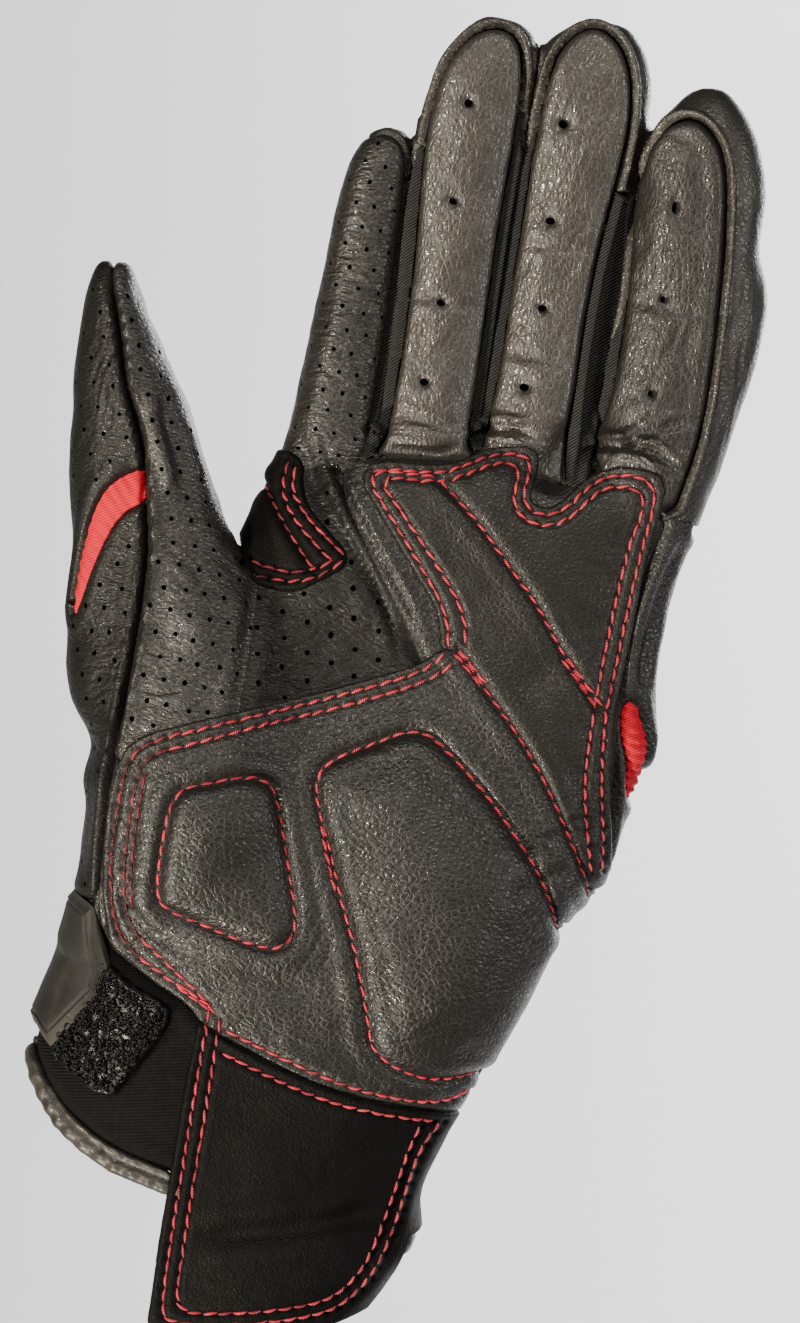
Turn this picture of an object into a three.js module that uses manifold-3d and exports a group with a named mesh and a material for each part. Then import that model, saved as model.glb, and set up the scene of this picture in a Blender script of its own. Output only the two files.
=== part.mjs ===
// A short motorcycle glove for the left hand, in the form that it has when worn.
// Millimetres. +Z runs along the fingers, the palm faces -Y, the thumb is on the -X side.
// The origin is the middle of the wrist opening.
import * as THREE from 'three';
import { mergeVertices } from 'three/addons/utils/BufferGeometryUtils.js';
import Module from 'manifold-3d';

const wasm = await Module();
wasm.setup();

// Thicknesses and clearances
const GAP = 0.3;
const LEATHER = 1.5;
const PATCH = 1.2;
const PAD = 2.2;
const STRAP = 1.4;
const RUBBER = 2.2;
const BINDING = 1.4;

// Heights of the layers over the outer face of the base leather
const PATCH_FLOOR = GAP;
const PATCH_TOP = PATCH_FLOOR + PATCH;
const PAD_FLOOR = PATCH_TOP + GAP;
const PAD_TOP = PAD_FLOOR + PAD;
const STRAP_TOP = GAP + STRAP;
const RUBBER_FLOOR = STRAP_TOP + GAP;
const RUBBER_TOP = RUBBER_FLOOR + RUBBER;

// How finely the soft form is cut into facets
const HAND_SIDES = 24;
const THUMB_SIDES = 16;
const FINGER_SIDES = 12;
const REACH = 90;

const COLOURS = {
  leather: { color: 0x2b2825, roughness: 0.55, metalness: 0 },
  perforated: { color: 0x26241f, roughness: 0.6, metalness: 0 },
  patch: { color: 0x242120, roughness: 0.5, metalness: 0 },
  stretch: { color: 0xc4313b, roughness: 0.8, metalness: 0 },
  twill: { color: 0x17181a, roughness: 0.85, metalness: 0 },
  rubber: { color: 0x33332f, roughness: 0.6, metalness: 0 },
  fastener: { color: 0x0d0d0e, roughness: 0.5, metalness: 0 },
};

// Sections of the hand from the cuff to the roots of the fingers.
// left and right are the edges in X, front and back the depths from the plane y = 0.
const HAND = [
  { z: -24, left: -29, right: 10, front: 17, back: 17 },
  { z: 4, left: -43, right: 18, front: 18.5, back: 19.5 },
  { z: 30, left: -55, right: 23, front: 19.5, back: 20 },
  { z: 45, left: -53, right: 27.5, front: 20, back: 19.5 },
  { z: 60, left: -50, right: 31.5, front: 20.5, back: 18.5 },
  { z: 75, left: -48, right: 36.5, front: 20, back: 17.5 },
  { z: 90, left: -45, right: 46.5, front: 18, back: 17 },
  { z: 110, left: -39, right: 51.3, front: 15.5, back: 16.5 },
  { z: 130, left: -32, right: 51.2, front: 14, back: 15.5 },
  { z: 145, left: -30.5, right: 52.4, front: 13.5, back: 14.5 },
  { z: 157, left: -27, right: 54.5, front: 11.5, back: 12.5 },
  { z: 164, left: -22, right: 52, front: 7, back: 7.5 },
];

// Sections of the thumb; middle is the Y of its centre line.
const THUMB = [
  { z: 58, left: -50.5, right: -22, front: 11, back: 8, middle: -4 },
  { z: 72, left: -52, right: -18, front: 16, back: 11, middle: -5 },
  { z: 88, left: -53.5, right: -14, front: 18, back: 13, middle: -6 },
  { z: 104, left: -57.5, right: -12, front: 15.5, back: 14, middle: -6 },
  { z: 118, left: -61, right: -18, front: 13, back: 13.5, middle: -6.5 },
  { z: 132, left: -62.4, right: -28.5, front: 12, back: 12.5, middle: -7 },
  { z: 145, left: -65, right: -36.5, front: 11.5, back: 11.5, middle: -8 },
  { z: 160, left: -66.3, right: -44.6, front: 10.5, back: 10, middle: -9.5 },
  { z: 172, left: -67.2, right: -52.4, front: 8.5, back: 8, middle: -11 },
  { z: 182, left: -67.7, right: -58.2, front: 6, back: 5.5, middle: -12.5 },
  { z: 188.5, left: -66, right: -61, front: 2.5, back: 2.5, middle: -13.5 },
];

// Sections of the fingers; all four bend a little towards the palm.
const FINGERS = {
  index: [
    { z: 128, left: -25, right: -11, front: 7, back: 8, middle: 0 },
    { z: 150, left: -29.3, right: -9.6, front: 9, back: 9.5, middle: 1 },
    { z: 165, left: -26, right: -9.4, front: 9, back: 9.5, middle: 1.3 },
    { z: 180, left: -24.9, right: -9.3, front: 8.7, back: 9, middle: 1 },
    { z: 195, left: -23.9, right: -9.8, front: 8.3, back: 8.5, middle: 0 },
    { z: 207, left: -23.5, right: -10.6, front: 8, back: 8, middle: -1.5 },
    { z: 215, left: -22.2, right: -11.4, front: 6.8, back: 7, middle: -3 },
    { z: 219.5, left: -19.8, right: -12, front: 5, back: 5, middle: -4 },
    { z: 221.5, left: -17, right: -12.8, front: 2.4, back: 2.4, middle: -4.5 },
  ],
  middle: [
    { z: 128, left: -7, right: 8, front: 8, back: 8, middle: 0 },
    { z: 152, left: -8.2, right: 9.6, front: 9.5, back: 9.5, middle: 0.5 },
    { z: 188, left: -8, right: 9.6, front: 9.2, back: 9.2, middle: 0 },
    { z: 206, left: -9.2, right: 9.8, front: 9, back: 9, middle: -1.5 },
    { z: 222, left: -10.5, right: 9.6, front: 8.6, back: 8.6, middle: -3.5 },
    { z: 235, left: -9.2, right: 8.6, front: 7.4, back: 7.4, middle: -5.5 },
    { z: 242, left: -5.6, right: 7.4, front: 5, back: 5, middle: -7 },
    { z: 245.3, left: -1.4, right: 5.4, front: 2.4, back: 2.4, middle: -7.5 },
  ],
  ring: [
    { z: 128, left: 12, right: 30, front: 8, back: 8, middle: 0 },
    { z: 152, left: 11, right: 31.6, front: 9.5, back: 9.5, middle: 0.5 },
    { z: 188, left: 10.6, right: 32, front: 9.2, back: 9.4, middle: 0.5 },
    { z: 206, left: 10.8, right: 31.8, front: 9, back: 9.2, middle: -1 },
    { z: 223, left: 10.9, right: 32, front: 8.8, back: 8.8, middle: -3 },
    { z: 236, left: 11.6, right: 31, front: 7.6, back: 7.6, middle: -5 },
    { z: 244, left: 14.4, right: 27, front: 5, back: 5, middle: -6.5 },
    { z: 247.8, left: 18, right: 23.4, front: 2.4, back: 2.4, middle: -7.5 },
  ],
  little: [
    { z: 126, left: 34, right: 48, front: 8, back: 8, middle: -1 },
    { z: 148, left: 33.6, right: 53, front: 9.5, back: 10, middle: -1 },
    { z: 164, left: 33.4, right: 56.2, front: 9.8, back: 10, middle: -1.2 },
    { z: 190, left: 33, right: 58.8, front: 9.6, back: 10, middle: -2.5 },
    { z: 205, left: 32.8, right: 58, front: 9.2, back: 9.6, middle: -4 },
    { z: 218, left: 32.6, right: 55.4, front: 8.4, back: 9, middle: -6 },
    { z: 228, left: 33.8, right: 53, front: 7.4, back: 8, middle: -7.5 },
    { z: 235, left: 38, right: 49.3, front: 5, back: 5.4, middle: -8.5 },
    { z: 238, left: 41, right: 46, front: 2.4, back: 2.6, middle: -9 },
  ],
};

// Half depth of the side strip of a finger, to both sides of its centre line
const SIDE_STRIP = 4.2;

// Seam between the finger fronts and the palm, and where the fingers part from each other
const FINGER_ROOT = 159;
const CELLS = {
  index: [[-40, 152], [-31, 152], [-14, 157], [-9, FINGER_ROOT], [-8.8, 190], [-10.7, 225], [-10.7, 260], [-40, 260]],
  middle: [[-9, FINGER_ROOT], [-8.8, 190], [-10.7, 225], [-10.7, 260], [10.3, 260], [10.3, FINGER_ROOT + 2]],
  ring: [[10.3, FINGER_ROOT + 2], [10.3, 260], [32.3, 260], [32.3, 225], [32.5, 200], [32.6, FINGER_ROOT]],
  little: [[32.6, FINGER_ROOT], [32.5, 200], [32.3, 225], [32.3, 260], [70, 260], [70, 156], [50, 156]],
};
const FOURCHETTES = {
  index_middle: { left: 'index', right: 'middle' },
  middle_ring: { left: 'middle', right: 'ring' },
  ring_little: { left: 'ring', right: 'little' },
};

// Seams and outlines as seen from the palm side, each point [x, z]
const THUMB_SEAM = [[-64, 200], [-63.6, 186], [-59.4, 173], [-57, 164], [-52, 154], [-50, 143], [-48, 133], [-47.8, 118],
  [-48.4, 100], [-48.8, 88], [-47, 70], [-44, 60]];
const THUMB_CROTCH = [[-26.5, 103], [-26.5, 132], [-29, 134.2], [-32.4, 139], [-34.2, 145], [-37, 160], [-50, 200]];
const RED_TOP = [[-50, 150.4], [-57.4, 146], [-60, 140], [-61.6, 133], [-63, 126.7], [-72, 118]];
const RED_FOOT = [[-49.6, 143.6], [-53.7, 141.3], [-56.5, 136.7], [-58.6, 131], [-60, 124.4], [-61.4, 120], [-72, 108]];
const SIDE_INSERT = [[46.6, 113.3], [49, 108], [50.2, 101], [62, 101], [62, 119], [49, 120.5], [47, 121]];
const ULNAR_SEAM = [[45, 236], [47.7, 228], [49, 220], [50.6, 208], [51.2, 190], [51, 172], [48.8, 160], [46, 147],
  [44, 137], [44, 125], [46, 108], [47, 95], [47.5, 88], [41, 80]];
const WEB_EDGE = [[-14.4, 157], [-14, 151], [-8, 142], [0, 131], [7, 120.5]];
const PALM_TOP = [[-9, 159], [10.3, 161], [32.6, 159], [48.8, 158.5]];
const PATCH_LINE = [[6.4, 118], [-6.6, 112], [-20, 106.4], [-26.5, 103.6], [-36.6, 99], [-49.5, 93.4]];
const HEEL_EDGE = [[-49.5, 66], [-46.3, 61.5], [-43.6, 58.6], [-38.5, 56.2], [-31.5, 52.6], [-27.5, 51.6], [-22, 46.5]];
const CUFF_SEAM = [[-19.6, 44], [-8.5, 40.4], [1.5, 37.6], [11.6, 36.2], [22.7, 36], [60, 36]];
const SLEEVE_FRONT = [[-72, 44], [-56.6, 34.6], [-55, 31.4], [-52.4, 28], [-48.5, 23.6], [-43, 20], [-37, 17.4], [-26.1, 15.2]];
const SLEEVE_BACK = [[-72, 44], [-56.6, 34.6], [-55, 33], [-30, 22], [0, 9.5], [30, 0]];
const BINDING_WIDTH = 4.4;
const FLAP_EDGE = 3;
const BACK_SEAM = [[-33, 139], [-34, 125], [-36.5, 100], [-42, 80], [-46, 64]];
const CUFF_TOP = [[-60, 66], [-30, 60], [10, 56], [60, 52]];

const lifted = (line, height) => line.map(([x, z]) => [x, z + height]);
const backwards = (line) => line.slice().reverse();
const between = (low, high) => low.filter(([, z]) => z >= high[0] && z <= high[1]);

const THUMB_INNER_TOP = [...between(THUMB_SEAM, [134, 200]), [-48, 134], ...THUMB_CROTCH.slice(2)];
const THUMB_INNER_FOOT = [...between(THUMB_SEAM, [94, 133]), ...backwards(PATCH_LINE.slice(3)),
  ...THUMB_CROTCH.slice(1, 3), [-29.5, 135], [-48, 135]];
const RED_INSERT = [...RED_TOP, ...backwards(RED_FOOT)];
const THUMB_TIP = [...between(THUMB_SEAM, [150.6, 200]), ...RED_TOP, [-80, 118], [-80, 200]];
const THUMB_BASE = [...backwards(RED_FOOT), ...between(THUMB_SEAM, [66, 143]), [-49.8, 66], [-80, 72], [-80, 108]];
const THUMB_BACK = [[-50, 146], ...BACK_SEAM, [-60, 68]];
const WEB = [...THUMB_CROTCH.slice(1, 5), [-40, 152], [-31, 152], ...WEB_EDGE, ...PATCH_LINE.slice(0, 4)];
const PALM = [...PALM_TOP, ...ULNAR_SEAM.slice(7), [60, 78], ...backwards(CUFF_SEAM), ...backwards(HEEL_EDGE),
  ...backwards(PATCH_LINE), ...backwards(WEB_EDGE)];
const LITTLE_FRONT = [...ULNAR_SEAM.slice(0, 7), [48.5, 150], [20, 150], [20, 260], [36, 260]];
const BINDING_FRONT = [...SLEEVE_FRONT, ...backwards(lifted(SLEEVE_FRONT, BINDING_WIDTH))];
const BINDING_BACK = [...SLEEVE_BACK, ...backwards(lifted(SLEEVE_BACK, BINDING_WIDTH))];
const BINDING_SIDE = [[-72, 44], [-56.6, 34.6], [-50, 31], [-50, 36], [-56.6, 39], [-72, 48.4]];
const GUSSET = [...lifted(SLEEVE_FRONT, BINDING_WIDTH + GAP), [-19.6, 19], [-19.6, 45.4], ...backwards(HEEL_EDGE), [-72, 70]];
const CUFF_BACK = [...lifted(SLEEVE_BACK, BINDING_WIDTH + GAP), [60, 0], ...backwards(CUFF_TOP), [-72, 66]];
const HAND_BACK = [[-72, 66], ...lifted(CUFF_TOP, GAP), [80, 52], [80, 164], [-72, 164]];

const UPPER_PATCH = [[-11, 154.2], [-7.8, 158.3], [2.8, 158.6], [12.8, 164], [21.2, 165.4], [22.2, 161.7],
  [20.8, 155.6], [22.4, 154], [25.6, 153.6], [31.2, 160.8], [35.6, 163.6], [41, 164.2], [46.6, 162.8],
  [45.3, 150], [44.9, 136.7], [43.2, 116.7], [44.9, 102], [47.2, 94.4], [48, 87],
  [44.6, 83.2], [12, 120], [9, 124.4], [6.8, 133], [1.6, 139.2], [-6.8, 149.2]];
const LOWER_PATCH = [[-47, 97], [-36.6, 102.5], [-20, 109.8], [-6.6, 115.4], [6.6, 121.4], [8.4, 124], [12, 119.4],
  [44.2, 83], [60, 83], [60, 38], [22.7, 38], [11.6, 38.3], [1.5, 39.6], [-8.5, 42.4], [-19.6, 46.1], [-24, 48],
  [-27.5, 52], [-31.5, 53], [-38.5, 56.6], [-43.6, 59], [-46.4, 64.5]];
const SADDLE_PATCH = [[-32, 131.2], [-26, 131], [-19.6, 131], [-15.4, 133.6], [-9.2, 138.8], [-18, 145.6],
  [-21.6, 149.8], [-22, 158], [-36, 158]];
const THENAR_PAD = [[-36.6, 91.2], [-30.6, 93.3], [-22.8, 96], [-18.6, 95.4], [-16.8, 92.4], [-14, 84.4], [-10.2, 73.3],
  [-8.8, 67.8], [-11.5, 63.5], [-18.3, 63.9], [-27.2, 66.2], [-34.6, 67.9], [-36.8, 70.6], [-37.2, 77.8]];
const HEEL_PAD = [[-9.4, 98.9], [-6.7, 101.7], [0.6, 105.6], [4.9, 108.3], [9.4, 108.7], [13.9, 105.6], [22.8, 98.3],
  [30.6, 90], [36, 83.3], [62, 72], [62, 47.5], [28.9, 46], [20.6, 43.8], [11.7, 45.6], [7.8, 48.9], [6.7, 53.3],
  [4.4, 60], [1.1, 69], [-1.7, 74.4], [-5, 83.3], [-8.3, 90]];
const CUFF_TAB = [[-25.5, 48], [-22, 46.4], [-19.6, 45.4], [-8.5, 41.7], [1.5, 38.9], [11.6, 37.6], [22.7, 37.3],
  [60, 37.3], [60, 20], [21.2, 16], [17.6, 3.8], [13, -4], [-8, -9], [-24.4, -11.6], [-25.8, -8]];
const STRAP_END = [[-52, 68.5], [-47.5, 66.5], [-42.6, 55.4], [-42.9, 50], [-50.6, 38.4], [-53.6, 41.4], [-70, 45],
  [-70, 72]];
const HOOK_PATCH = [[-45, 57.5], [-38, 53.2], [-31, 50.9], [-30.2, 48.5], [-30.9, 44.4], [-35.6, 36], [-39.4, 30.2],
  [-49.6, 36.4], [-51, 38.8]];
const STRAP_FRONT = [[-70, 71], [-52, 68], [-50.4, 66.8], [-51.8, 41], [-53, 42], [-70, 45]];
const STRAP_BAND = [[-70, 71], [-52, 68], [-10, 60], [20, 56], [60, 54], [60, 30], [20, 30], [-10, 34], [-50, 41.5],
  [-53, 42], [-70, 45]];

// A closed manifold solid from a three.js geometry
function solidFrom(geometry) {
  geometry.deleteAttribute('normal');
  geometry.deleteAttribute('uv');
  const merged = mergeVertices(geometry, 1e-5);
  const vertProperties = Float32Array.from(merged.attributes.position.array);
  const triVerts = Uint32Array.from(merged.index.array);
  return new wasm.Manifold(new wasm.Mesh({ numProp: 3, vertProperties, triVerts }));
}

// A three.js geometry from a manifold solid
function geometryFrom(solid) {
  const mesh = solid.getMesh();
  const geometry = new THREE.BufferGeometry();
  geometry.setAttribute('position', new THREE.BufferAttribute(Float32Array.from(mesh.vertProperties), 3));
  geometry.setIndex(new THREE.BufferAttribute(Uint32Array.from(mesh.triVerts), 1));
  geometry.computeVertexNormals();
  return geometry;
}

// One ring of a section: an oval, fuller than an ellipse, grown by a distance to all sides
function sectionRing(row, sides, grow) {
  const middle = row.middle ?? 0;
  const centre = (row.left + row.right) / 2;
  const halfWidth = Math.max((row.right - row.left) / 2 + grow, 0.4);
  const front = Math.max(row.front + grow, 0.4);
  const back = Math.max(row.back + grow, 0.4);
  const fullness = 0.82;
  const ring = [];
  for (let i = 0; i < sides; i += 1) {
    const angle = (2 * Math.PI * (i + 0.5)) / sides;
    const c = Math.cos(angle);
    const s = Math.sin(angle);
    const depth = s < 0 ? front : back;
    const x = centre + halfWidth * Math.sign(c) * Math.abs(c) ** fullness;
    const y = middle + depth * Math.sign(s) * Math.abs(s) ** fullness;
    ring.push([x, y]);
  }
  return ring;
}

// A closed skin through the sections, grown by a distance. openFoot runs its foot further down.
function loft(rows, sides, grow, openFoot = 0) {
  const positions = [];
  const index = [];
  const last = rows.length - 1;
  rows.forEach((row, level) => {
    const lift = level === last ? grow : 0;
    const drop = level === 0 ? openFoot : 0;
    for (const [x, y] of sectionRing(row, sides, grow)) {
      positions.push(x, y, row.z + lift - drop);
    }
  });
  for (let level = 0; level < last; level += 1) {
    for (let i = 0; i < sides; i += 1) {
      const a = level * sides + i;
      const b = level * sides + ((i + 1) % sides);
      index.push(a, b, b + sides, a, b + sides, a + sides);
    }
  }
  for (let i = 1; i < sides - 1; i += 1) {
    index.push(0, i + 1, i);
    index.push(last * sides, last * sides + i, last * sides + i + 1);
  }
  const geometry = new THREE.BufferGeometry();
  geometry.setAttribute('position', new THREE.Float32BufferAttribute(positions, 3));
  geometry.setIndex(index);
  return solidFrom(geometry);
}

// The outer form of the whole glove, grown by a distance
function form(grow, openFoot = 0) {
  let body = loft(HAND, HAND_SIDES, grow, openFoot);
  body = body.add(loft(THUMB, THUMB_SIDES, grow));
  for (const rows of Object.values(FINGERS)) {
    body = body.add(loft(rows, FINGER_SIDES, grow));
  }
  return body;
}

// The same outline with every edge moved out by a distance
function grownOutline(points, distance) {
  const ring = points.map(([x, z]) => new THREE.Vector2(x, z));
  if (THREE.ShapeUtils.isClockWise(ring)) {
    ring.reverse();
  }
  const count = ring.length;
  return ring.map((point, i) => {
    const before = point.clone().sub(ring[(i + count - 1) % count]).normalize();
    const after = ring[(i + 1) % count].clone().sub(point).normalize();
    const outBefore = new THREE.Vector2(before.y, -before.x);
    const outAfter = new THREE.Vector2(after.y, -after.x);
    const miter = outBefore.add(outAfter).normalize();
    const stretch = distance / Math.max(miter.dot(outAfter), 0.4);
    return point.clone().addScaledVector(miter, stretch);
  });
}

// An outline in the X-Z plane carried right through the glove along Y
function prism(points, grow = 0) {
  const shape = new THREE.Shape(grownOutline(points, grow));
  const geometry = new THREE.ExtrudeGeometry(shape, { depth: 2 * REACH, bevelEnabled: false });
  geometry.rotateX(Math.PI / 2);
  geometry.translate(0, REACH, 0);
  return solidFrom(geometry);
}

// A slab between two lines of the Y-Z plane, each a list of points [y, z] from foot to top
function slab(nearLine, farLine, grow = 0) {
  const outline = [...nearLine, ...farLine.slice().reverse()];
  const shape = new THREE.Shape(grownOutline(outline, grow));
  const geometry = new THREE.ExtrudeGeometry(shape, { depth: 3 * REACH, bevelEnabled: false });
  geometry.translate(0, 0, -1.5 * REACH);
  const axes = [new THREE.Vector3(0, 1, 0), new THREE.Vector3(0, 0, 1), new THREE.Vector3(1, 0, 0)];
  geometry.applyMatrix4(new THREE.Matrix4().makeBasis(...axes));
  return solidFrom(geometry);
}

// Everything on the palm side of y, or on the back side of it
function palmSide(y, grow = 0) {
  return slab([[-REACH, -60], [-REACH, 300]], [[y, -60], [y, 300]], grow);
}

function backSide(y, grow = 0) {
  return slab([[y, -60], [y, 300]], [[REACH, -60], [REACH, 300]], grow);
}

// The largest closed body of a solid: a cut along a curved wall can leave crumbs
function mainBody(solid) {
  const bodies = solid.decompose();
  return bodies.reduce((best, body) => (body.volume() > best.volume() ? body : best));
}

const glove = new THREE.Group();

function addPiece(name, look, solid) {
  const material = new THREE.MeshStandardMaterial(COLOURS[look]);
  const mesh = new THREE.Mesh(geometryFrom(mainBody(solid)), material);
  mesh.name = name;
  glove.add(mesh);
}

// A layer of the skin between two heights over the base leather
function layer(floor, top) {
  return form(top).subtract(form(floor));
}

// The base leather, open at the wrist, from which the panels are taken one after the other
let rest = form(0).subtract(form(-LEATHER, 20));

// A zone is a function that gives the cutter of a panel, grown by a distance
function takePanel(name, look, zone) {
  addPiece(name, look, rest.intersect(zone(0)));
  rest = rest.subtract(zone(GAP));
}

function fingerFront(name) {
  const rows = FINGERS[name];
  const seam = rows.map((row) => [row.middle - SIDE_STRIP, row.z]);
  const far = rows.map((row) => [-REACH, row.z]);
  const front = (grow) => slab(far, seam, grow).intersect(prism(CELLS[name], grow));
  return name === 'little' ? (grow) => front(grow).intersect(prism(LITTLE_FRONT, grow)) : front;
}

// The half of a finger's cell on one side of its centre line, between its two seams
function fingerSide(name, side) {
  const rows = FINGERS[name];
  const near = rows.map((row) => [row.middle - SIDE_STRIP, row.z]);
  const far = rows.map((row) => [row.middle + SIDE_STRIP, row.z]);
  const centre = rows.map((row) => [(row.left + row.right) / 2, row.z]);
  const edge = rows.map((row) => [side * REACH, row.z]).reverse();
  return (grow) => slab(near, far, grow)
    .intersect(prism([...centre, ...edge], grow))
    .intersect(prism(CELLS[name], Math.max(grow, 0.01)));
}

function buildFingers() {
  for (const name of Object.keys(FINGERS)) {
    takePanel(`${name}_front`, name === 'index' ? 'perforated' : 'leather', fingerFront(name));
  }
  for (const [name, { left, right }] of Object.entries(FOURCHETTES)) {
    const leftSide = fingerSide(left, 1);
    const rightSide = fingerSide(right, -1);
    takePanel(`${name}_fourchette`, 'twill', (grow) => leftSide(grow).add(rightSide(grow)));
  }
  for (const name of Object.keys(FINGERS)) {
    takePanel(`${name}_back`, 'leather', (grow) => prism(CELLS[name], grow));
  }
}

function buildThumb() {
  const inner = (grow) => prism(THUMB_INNER_TOP, grow)
    .add(prism(THUMB_INNER_FOOT, grow).intersect(palmSide(0, grow)));
  takePanel('thumb_inner_panel', 'perforated', inner);
  takePanel('thumb_red_insert', 'stretch', (grow) => prism(RED_INSERT, grow));
  takePanel('thumb_tip_panel', 'perforated', (grow) => prism(THUMB_TIP, grow));
  const base = (grow) => prism(THUMB_BASE, grow)
    .add(prism(THUMB_BACK, grow).intersect(backSide(0, grow)));
  takePanel('thumb_base_panel', 'perforated', base);
}

function buildHand() {
  takePanel('side_red_insert', 'stretch', (grow) => prism(SIDE_INSERT, grow).intersect(palmSide(6, grow)));
  takePanel('web_panel', 'perforated', (grow) => prism(WEB, grow).intersect(palmSide(0, grow)));
  takePanel('palm_panel', 'leather', (grow) => prism(PALM, grow).intersect(palmSide(-2, grow)));
}

function buildCuff() {
  const bindingLayer = form(BINDING).subtract(form(-LEATHER, 20));
  const band = (grow) => prism(BINDING_FRONT, grow).intersect(palmSide(0, grow))
    .add(prism(BINDING_BACK, grow).intersect(backSide(FLAP_EDGE + GAP, grow)))
    .add(prism(BINDING_SIDE, grow).intersect(slab([[-0.5, 20], [-0.5, 50]], [[5, 20], [5, 50]], grow)));
  addPiece('cuff_binding', 'leather', bindingLayer.intersect(band(0)));
  rest = rest.subtract(band(GAP));
  takePanel('cuff_gusset', 'twill', (grow) => prism(GUSSET, grow).intersect(palmSide(4, grow)));
  takePanel('cuff_back', 'leather', (grow) => prism(CUFF_BACK, grow).intersect(backSide(-8, grow)));
  takePanel('hand_back_panel', 'leather', (grow) => prism(HAND_BACK, grow));
}

// Patches and pads lie on the base leather; the flap of the cuff stands in for it over the wrist
function buildPatches() {
  const patchLayer = layer(PATCH_FLOOR, PATCH_TOP).intersect(palmSide(-1.5));
  addPiece('upper_palm_patch', 'patch', patchLayer.intersect(prism(UPPER_PATCH)));
  addPiece('lower_palm_patch', 'patch', patchLayer.intersect(prism(LOWER_PATCH)));
  addPiece('saddle_patch', 'patch', patchLayer.intersect(prism(SADDLE_PATCH)));
  const padLayer = layer(PAD_FLOOR, PAD_TOP).intersect(palmSide(-1));
  addPiece('thenar_pad', 'leather', padLayer.intersect(prism(THENAR_PAD)));
  addPiece('heel_pad', 'leather', padLayer.intersect(prism(HEEL_PAD)));
}

function buildStrap() {
  const tabLayer = layer(GAP, GAP + LEATHER);
  addPiece('cuff_tab', 'leather', tabLayer.intersect(prism(CUFF_TAB)).intersect(palmSide(FLAP_EDGE)));
  const strapLayer = layer(GAP, STRAP_TOP);
  const strapZone = prism(STRAP_BAND).intersect(backSide(4)).add(prism(STRAP_FRONT));
  addPiece('wrist_strap', 'patch', strapLayer.intersect(strapZone));
  addPiece('hook_patch', 'fastener', strapLayer.intersect(prism(HOOK_PATCH)).intersect(palmSide(0)));
  const rubberLayer = layer(RUBBER_FLOOR, RUBBER_TOP);
  addPiece('strap_tab', 'rubber', rubberLayer.intersect(prism(STRAP_END)).intersect(palmSide(8)));
}

buildFingers();
buildThumb();
buildHand();
buildCuff();
buildPatches();
buildStrap();

export default glove;
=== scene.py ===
import math
import bpy
import numpy as np
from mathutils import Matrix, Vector
from mathutils.bvhtree import BVHTree
from mathutils.kdtree import KDTree


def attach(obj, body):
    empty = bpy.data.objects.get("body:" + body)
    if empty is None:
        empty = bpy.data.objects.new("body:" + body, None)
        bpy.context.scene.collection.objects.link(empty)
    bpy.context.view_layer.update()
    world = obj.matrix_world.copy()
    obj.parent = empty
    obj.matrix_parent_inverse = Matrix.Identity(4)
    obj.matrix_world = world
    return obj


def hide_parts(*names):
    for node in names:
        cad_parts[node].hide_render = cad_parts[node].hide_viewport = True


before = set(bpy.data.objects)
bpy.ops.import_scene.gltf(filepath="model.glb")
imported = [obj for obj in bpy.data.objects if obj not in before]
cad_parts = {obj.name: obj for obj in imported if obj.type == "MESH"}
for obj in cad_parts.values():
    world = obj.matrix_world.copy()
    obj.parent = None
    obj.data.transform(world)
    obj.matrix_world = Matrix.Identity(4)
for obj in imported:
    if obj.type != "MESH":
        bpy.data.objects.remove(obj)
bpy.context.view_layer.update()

# The glove is worked out in millimetres in the frame's axes: +Z along the fingers, the palm facing -Y,
# the thumb on the -X side. A mesh is turned into metres when its object is made.
MM = 0.001
BODY = "root"
random = np.random.default_rng(11)

# Thicknesses, pitches and distances
LEATHER = 1.3
PATCH_RISE = 0.85
EDGE_ROLL = 0.9
STITCH_PITCH = 2.85
RAY_STEP = 0.5
ALONG_PATH = 0.8
FAR_FROM_BORDER = 20.0
FIELD_REACH = 8.0
LOOP_COUNT = 1500
VOXEL = 0.9

# Camera: the photo is 800 pixels wide, a pixel is 0.19 mm in the plane of the palm, and the
# fingers lean nine degrees to the left in it
PHOTO_WIDTH = 800
PIXEL = 0.19
LEAN = math.radians(9)
CAMERA_DISTANCE = 760
PALM_PLANE = -12
AIM = (2.0, 121.2)


def placed_object(name, data):
    made = bpy.data.objects.new(name, data)
    bpy.context.scene.collection.objects.link(made)
    return made


def build_camera():
    camera = bpy.data.cameras.new("camera")
    camera.sensor_fit = "HORIZONTAL"
    camera.sensor_width = 36
    camera.lens = 36 * CAMERA_DISTANCE / (PHOTO_WIDTH * PIXEL)
    camera.clip_start = 0.01
    holder = placed_object("camera", camera)
    holder.location = (AIM[0] * MM, (PALM_PLANE - CAMERA_DISTANCE) * MM, AIM[1] * MM)
    holder.rotation_euler = (math.radians(90), -LEAN, 0)
    bpy.context.scene.camera = holder


build_camera()

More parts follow.
